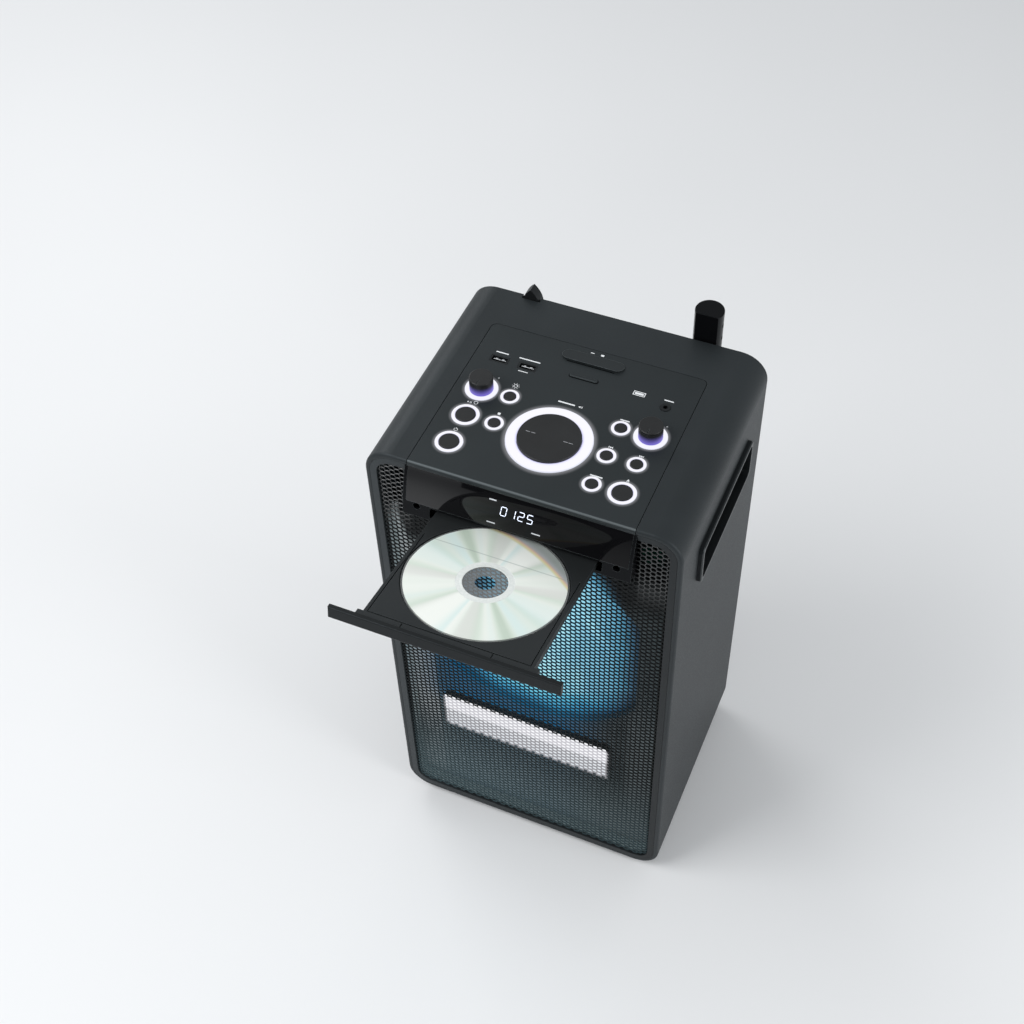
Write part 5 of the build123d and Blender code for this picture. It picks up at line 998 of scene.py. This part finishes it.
# ---------------------------------------------------------------- display
def display_place():
    """Returns a function that puts (x, height above the window's lower edge) on the window's curved face."""
    low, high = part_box("display_window")
    thickness = 2.6 * MM
    foot = Vector((low[1], low[2]))
    top = Vector((high[1] - thickness, high[2]))
    chord = top - foot
    inward = Vector((cos(TILT), -sin(TILT)))
    radius = chord.length_squared / (2 * chord.dot(inward))
    middle = foot + inward * radius

    def place(x, z):
        drop = foot.y + z - middle.y
        return (x, middle.x - sqrt(radius**2 - drop**2) - 0.06 * MM, foot.y + z)
    return place


SEGMENTS = {
    "a": ((0, 1), (1, 1)), "b": ((1, 1), (1, 0.5)), "c": ((1, 0.5), (1, 0)), "d": ((0, 0), (1, 0)),
    "e": ((0, 0.5), (0, 0)), "f": ((0, 1), (0, 0.5)), "g": ((0, 0.5), (1, 0.5)),
}
DIGIT_SEGMENTS = {0: "abcdef", 1: "bc", 2: "abdeg", 5: "acdfg"}


def digit(value, x, z, width, height, stroke):
    """A seven-segment digit as slim hexagons, leaning slightly."""
    lean = 0.12
    bars = []
    for name in DIGIT_SEGMENTS[value]:
        (x0, z0), (x1, z1) = SEGMENTS[name]
        start = Vector((x0 * width, z0 * height))
        end = Vector((x1 * width, z1 * height))
        along = (end - start).normalized()
        side = Vector((-along.y, along.x)) * stroke / 2
        start += along * 0.16
        end -= along * 0.16
        tip = along * stroke / 2
        ring = [start, start + tip + side, end - tip + side, end, end - tip - side, start + tip - side]
        bars.append([(x + p.x + lean * p.y, z + p.y) for p in ring])
    return bars


def display_marks():
    place = display_place()
    glow = flat_print("digit_glow", DIGIT_BLUE, 0.95)
    bars = []
    for k, value in enumerate((0, 1, 2, 5)):
        bars += digit(value, -12.6 + 6.9 * k, 12.3, 4.2, 7.0, 0.62)
    flat_marks("display_digits", bars, place, glow, "cabinet")
    dim = flat_print("display_dim", (0.55, 0.57, 0.60), 0.25)
    words = [rectangle(-19.3, 22.6, 5.6, 1.0), rectangle(-19.3, 3.6, 6.6, 1.0), rectangle(16.2, 5.0, 6.8, 1.0)]
    flat_marks("display_bars", words, place, dim, "cabinet")


# ---------------------------------------------------------------- surroundings
def floor_and_backdrop():
    nodes = Nodes("floor_finish")
    nodes.feed("Base Color", nodes.mottled(1.2, 2, (0.76, 0.77, 0.78), (0.79, 0.80, 0.81)))
    nodes.set(Roughness=0.55)
    reach = 6.0
    points = [(-reach, -reach, 0), (reach, -reach, 0), (reach, reach, 0), (-reach, reach, 0)]
    mesh = mesh_from("studio_floor", points, [(0, 1, 2, 3)])
    mesh.materials.append(nodes.material)
    floor = bpy.data.objects.new("studio_floor", mesh)
    bpy.context.collection.objects.link(floor)


def soft_light(name, place, target, size, power):
    lamp = bpy.data.lights.new(name, "AREA")
    lamp.shape = "RECTANGLE"
    lamp.size, lamp.size_y = size
    lamp.energy = power
    holder = bpy.data.objects.new(name, lamp)
    holder.location = place
    holder.rotation_euler = (Vector(target) - Vector(place)).to_track_quat("-Z", "Y").to_euler()
    bpy.context.collection.objects.link(holder)


def studio():
    world = bpy.data.worlds.new("studio")
    bpy.context.scene.world = world
    world.use_nodes = True
    background = world.node_tree.nodes["Background"]
    background.inputs["Color"].default_value = (0.86, 0.88, 0.90, 1.0)
    background.inputs["Strength"].default_value = 0.62
    middle = (0, 0, 0.25)
    soft_light("key_light", (-1.1, -0.9, 1.9), middle, (1.2, 1.2), 26)
    soft_light("side_light", (1.7, -0.2, 0.9), middle, (0.9, 1.4), 14)
    soft_light("back_light", (-1.7, 1.1, 1.5), middle, (1.2, 0.8), 11)
    bpy.context.scene.view_settings.view_transform = "Standard"


# ---------------------------------------------------------------- camera
CAMERA_AZIMUTH = 25.09            # degrees to the right of straight ahead
CAMERA_ELEVATION = 49.43
CAMERA_ROLL = -2.44
CAMERA_RIGHT = 306.87 * MM        # from the cabinet's middle
CAMERA_AHEAD = 667.30 * MM        # in front of the cabinet's front
CAMERA_HEIGHT = 1315.39 * MM
CAMERA_LENS = 54.64


def photo_camera():
    az, el, roll = (radians(angle) for angle in (CAMERA_AZIMUTH, CAMERA_ELEVATION, CAMERA_ROLL))
    back = Vector((sin(az) * cos(el), -cos(az) * cos(el), sin(el)))
    right = Vector((cos(az), sin(az), 0))
    up = back.cross(right)
    turned_right = cos(roll) * right + sin(roll) * up
    turned_up = cos(roll) * up - sin(roll) * right
    camera = bpy.data.cameras.new("photo_camera")
    camera.lens = CAMERA_LENS
    holder = bpy.data.objects.new("photo_camera", camera)
    holder.matrix_world = Matrix.Translation((CAMERA_RIGHT, FRONT_Y - CAMERA_AHEAD, CAMERA_HEIGHT)) @ Matrix((
        (turned_right.x, turned_up.x, back.x, 0), (turned_right.y, turned_up.y, back.y, 0),
        (turned_right.z, turned_up.z, back.z, 0), (0, 0, 0, 1)))
    bpy.context.collection.objects.link(holder)
    bpy.context.scene.camera = holder


# ---------------------------------------------------------------- build
dress_nodes()
grille()
compact_disc()
panel_marks()
dial_marks()
stop_shadow_marks()
port_marks()
display_marks()
floor_and_backdrop()
studio()
photo_camera()
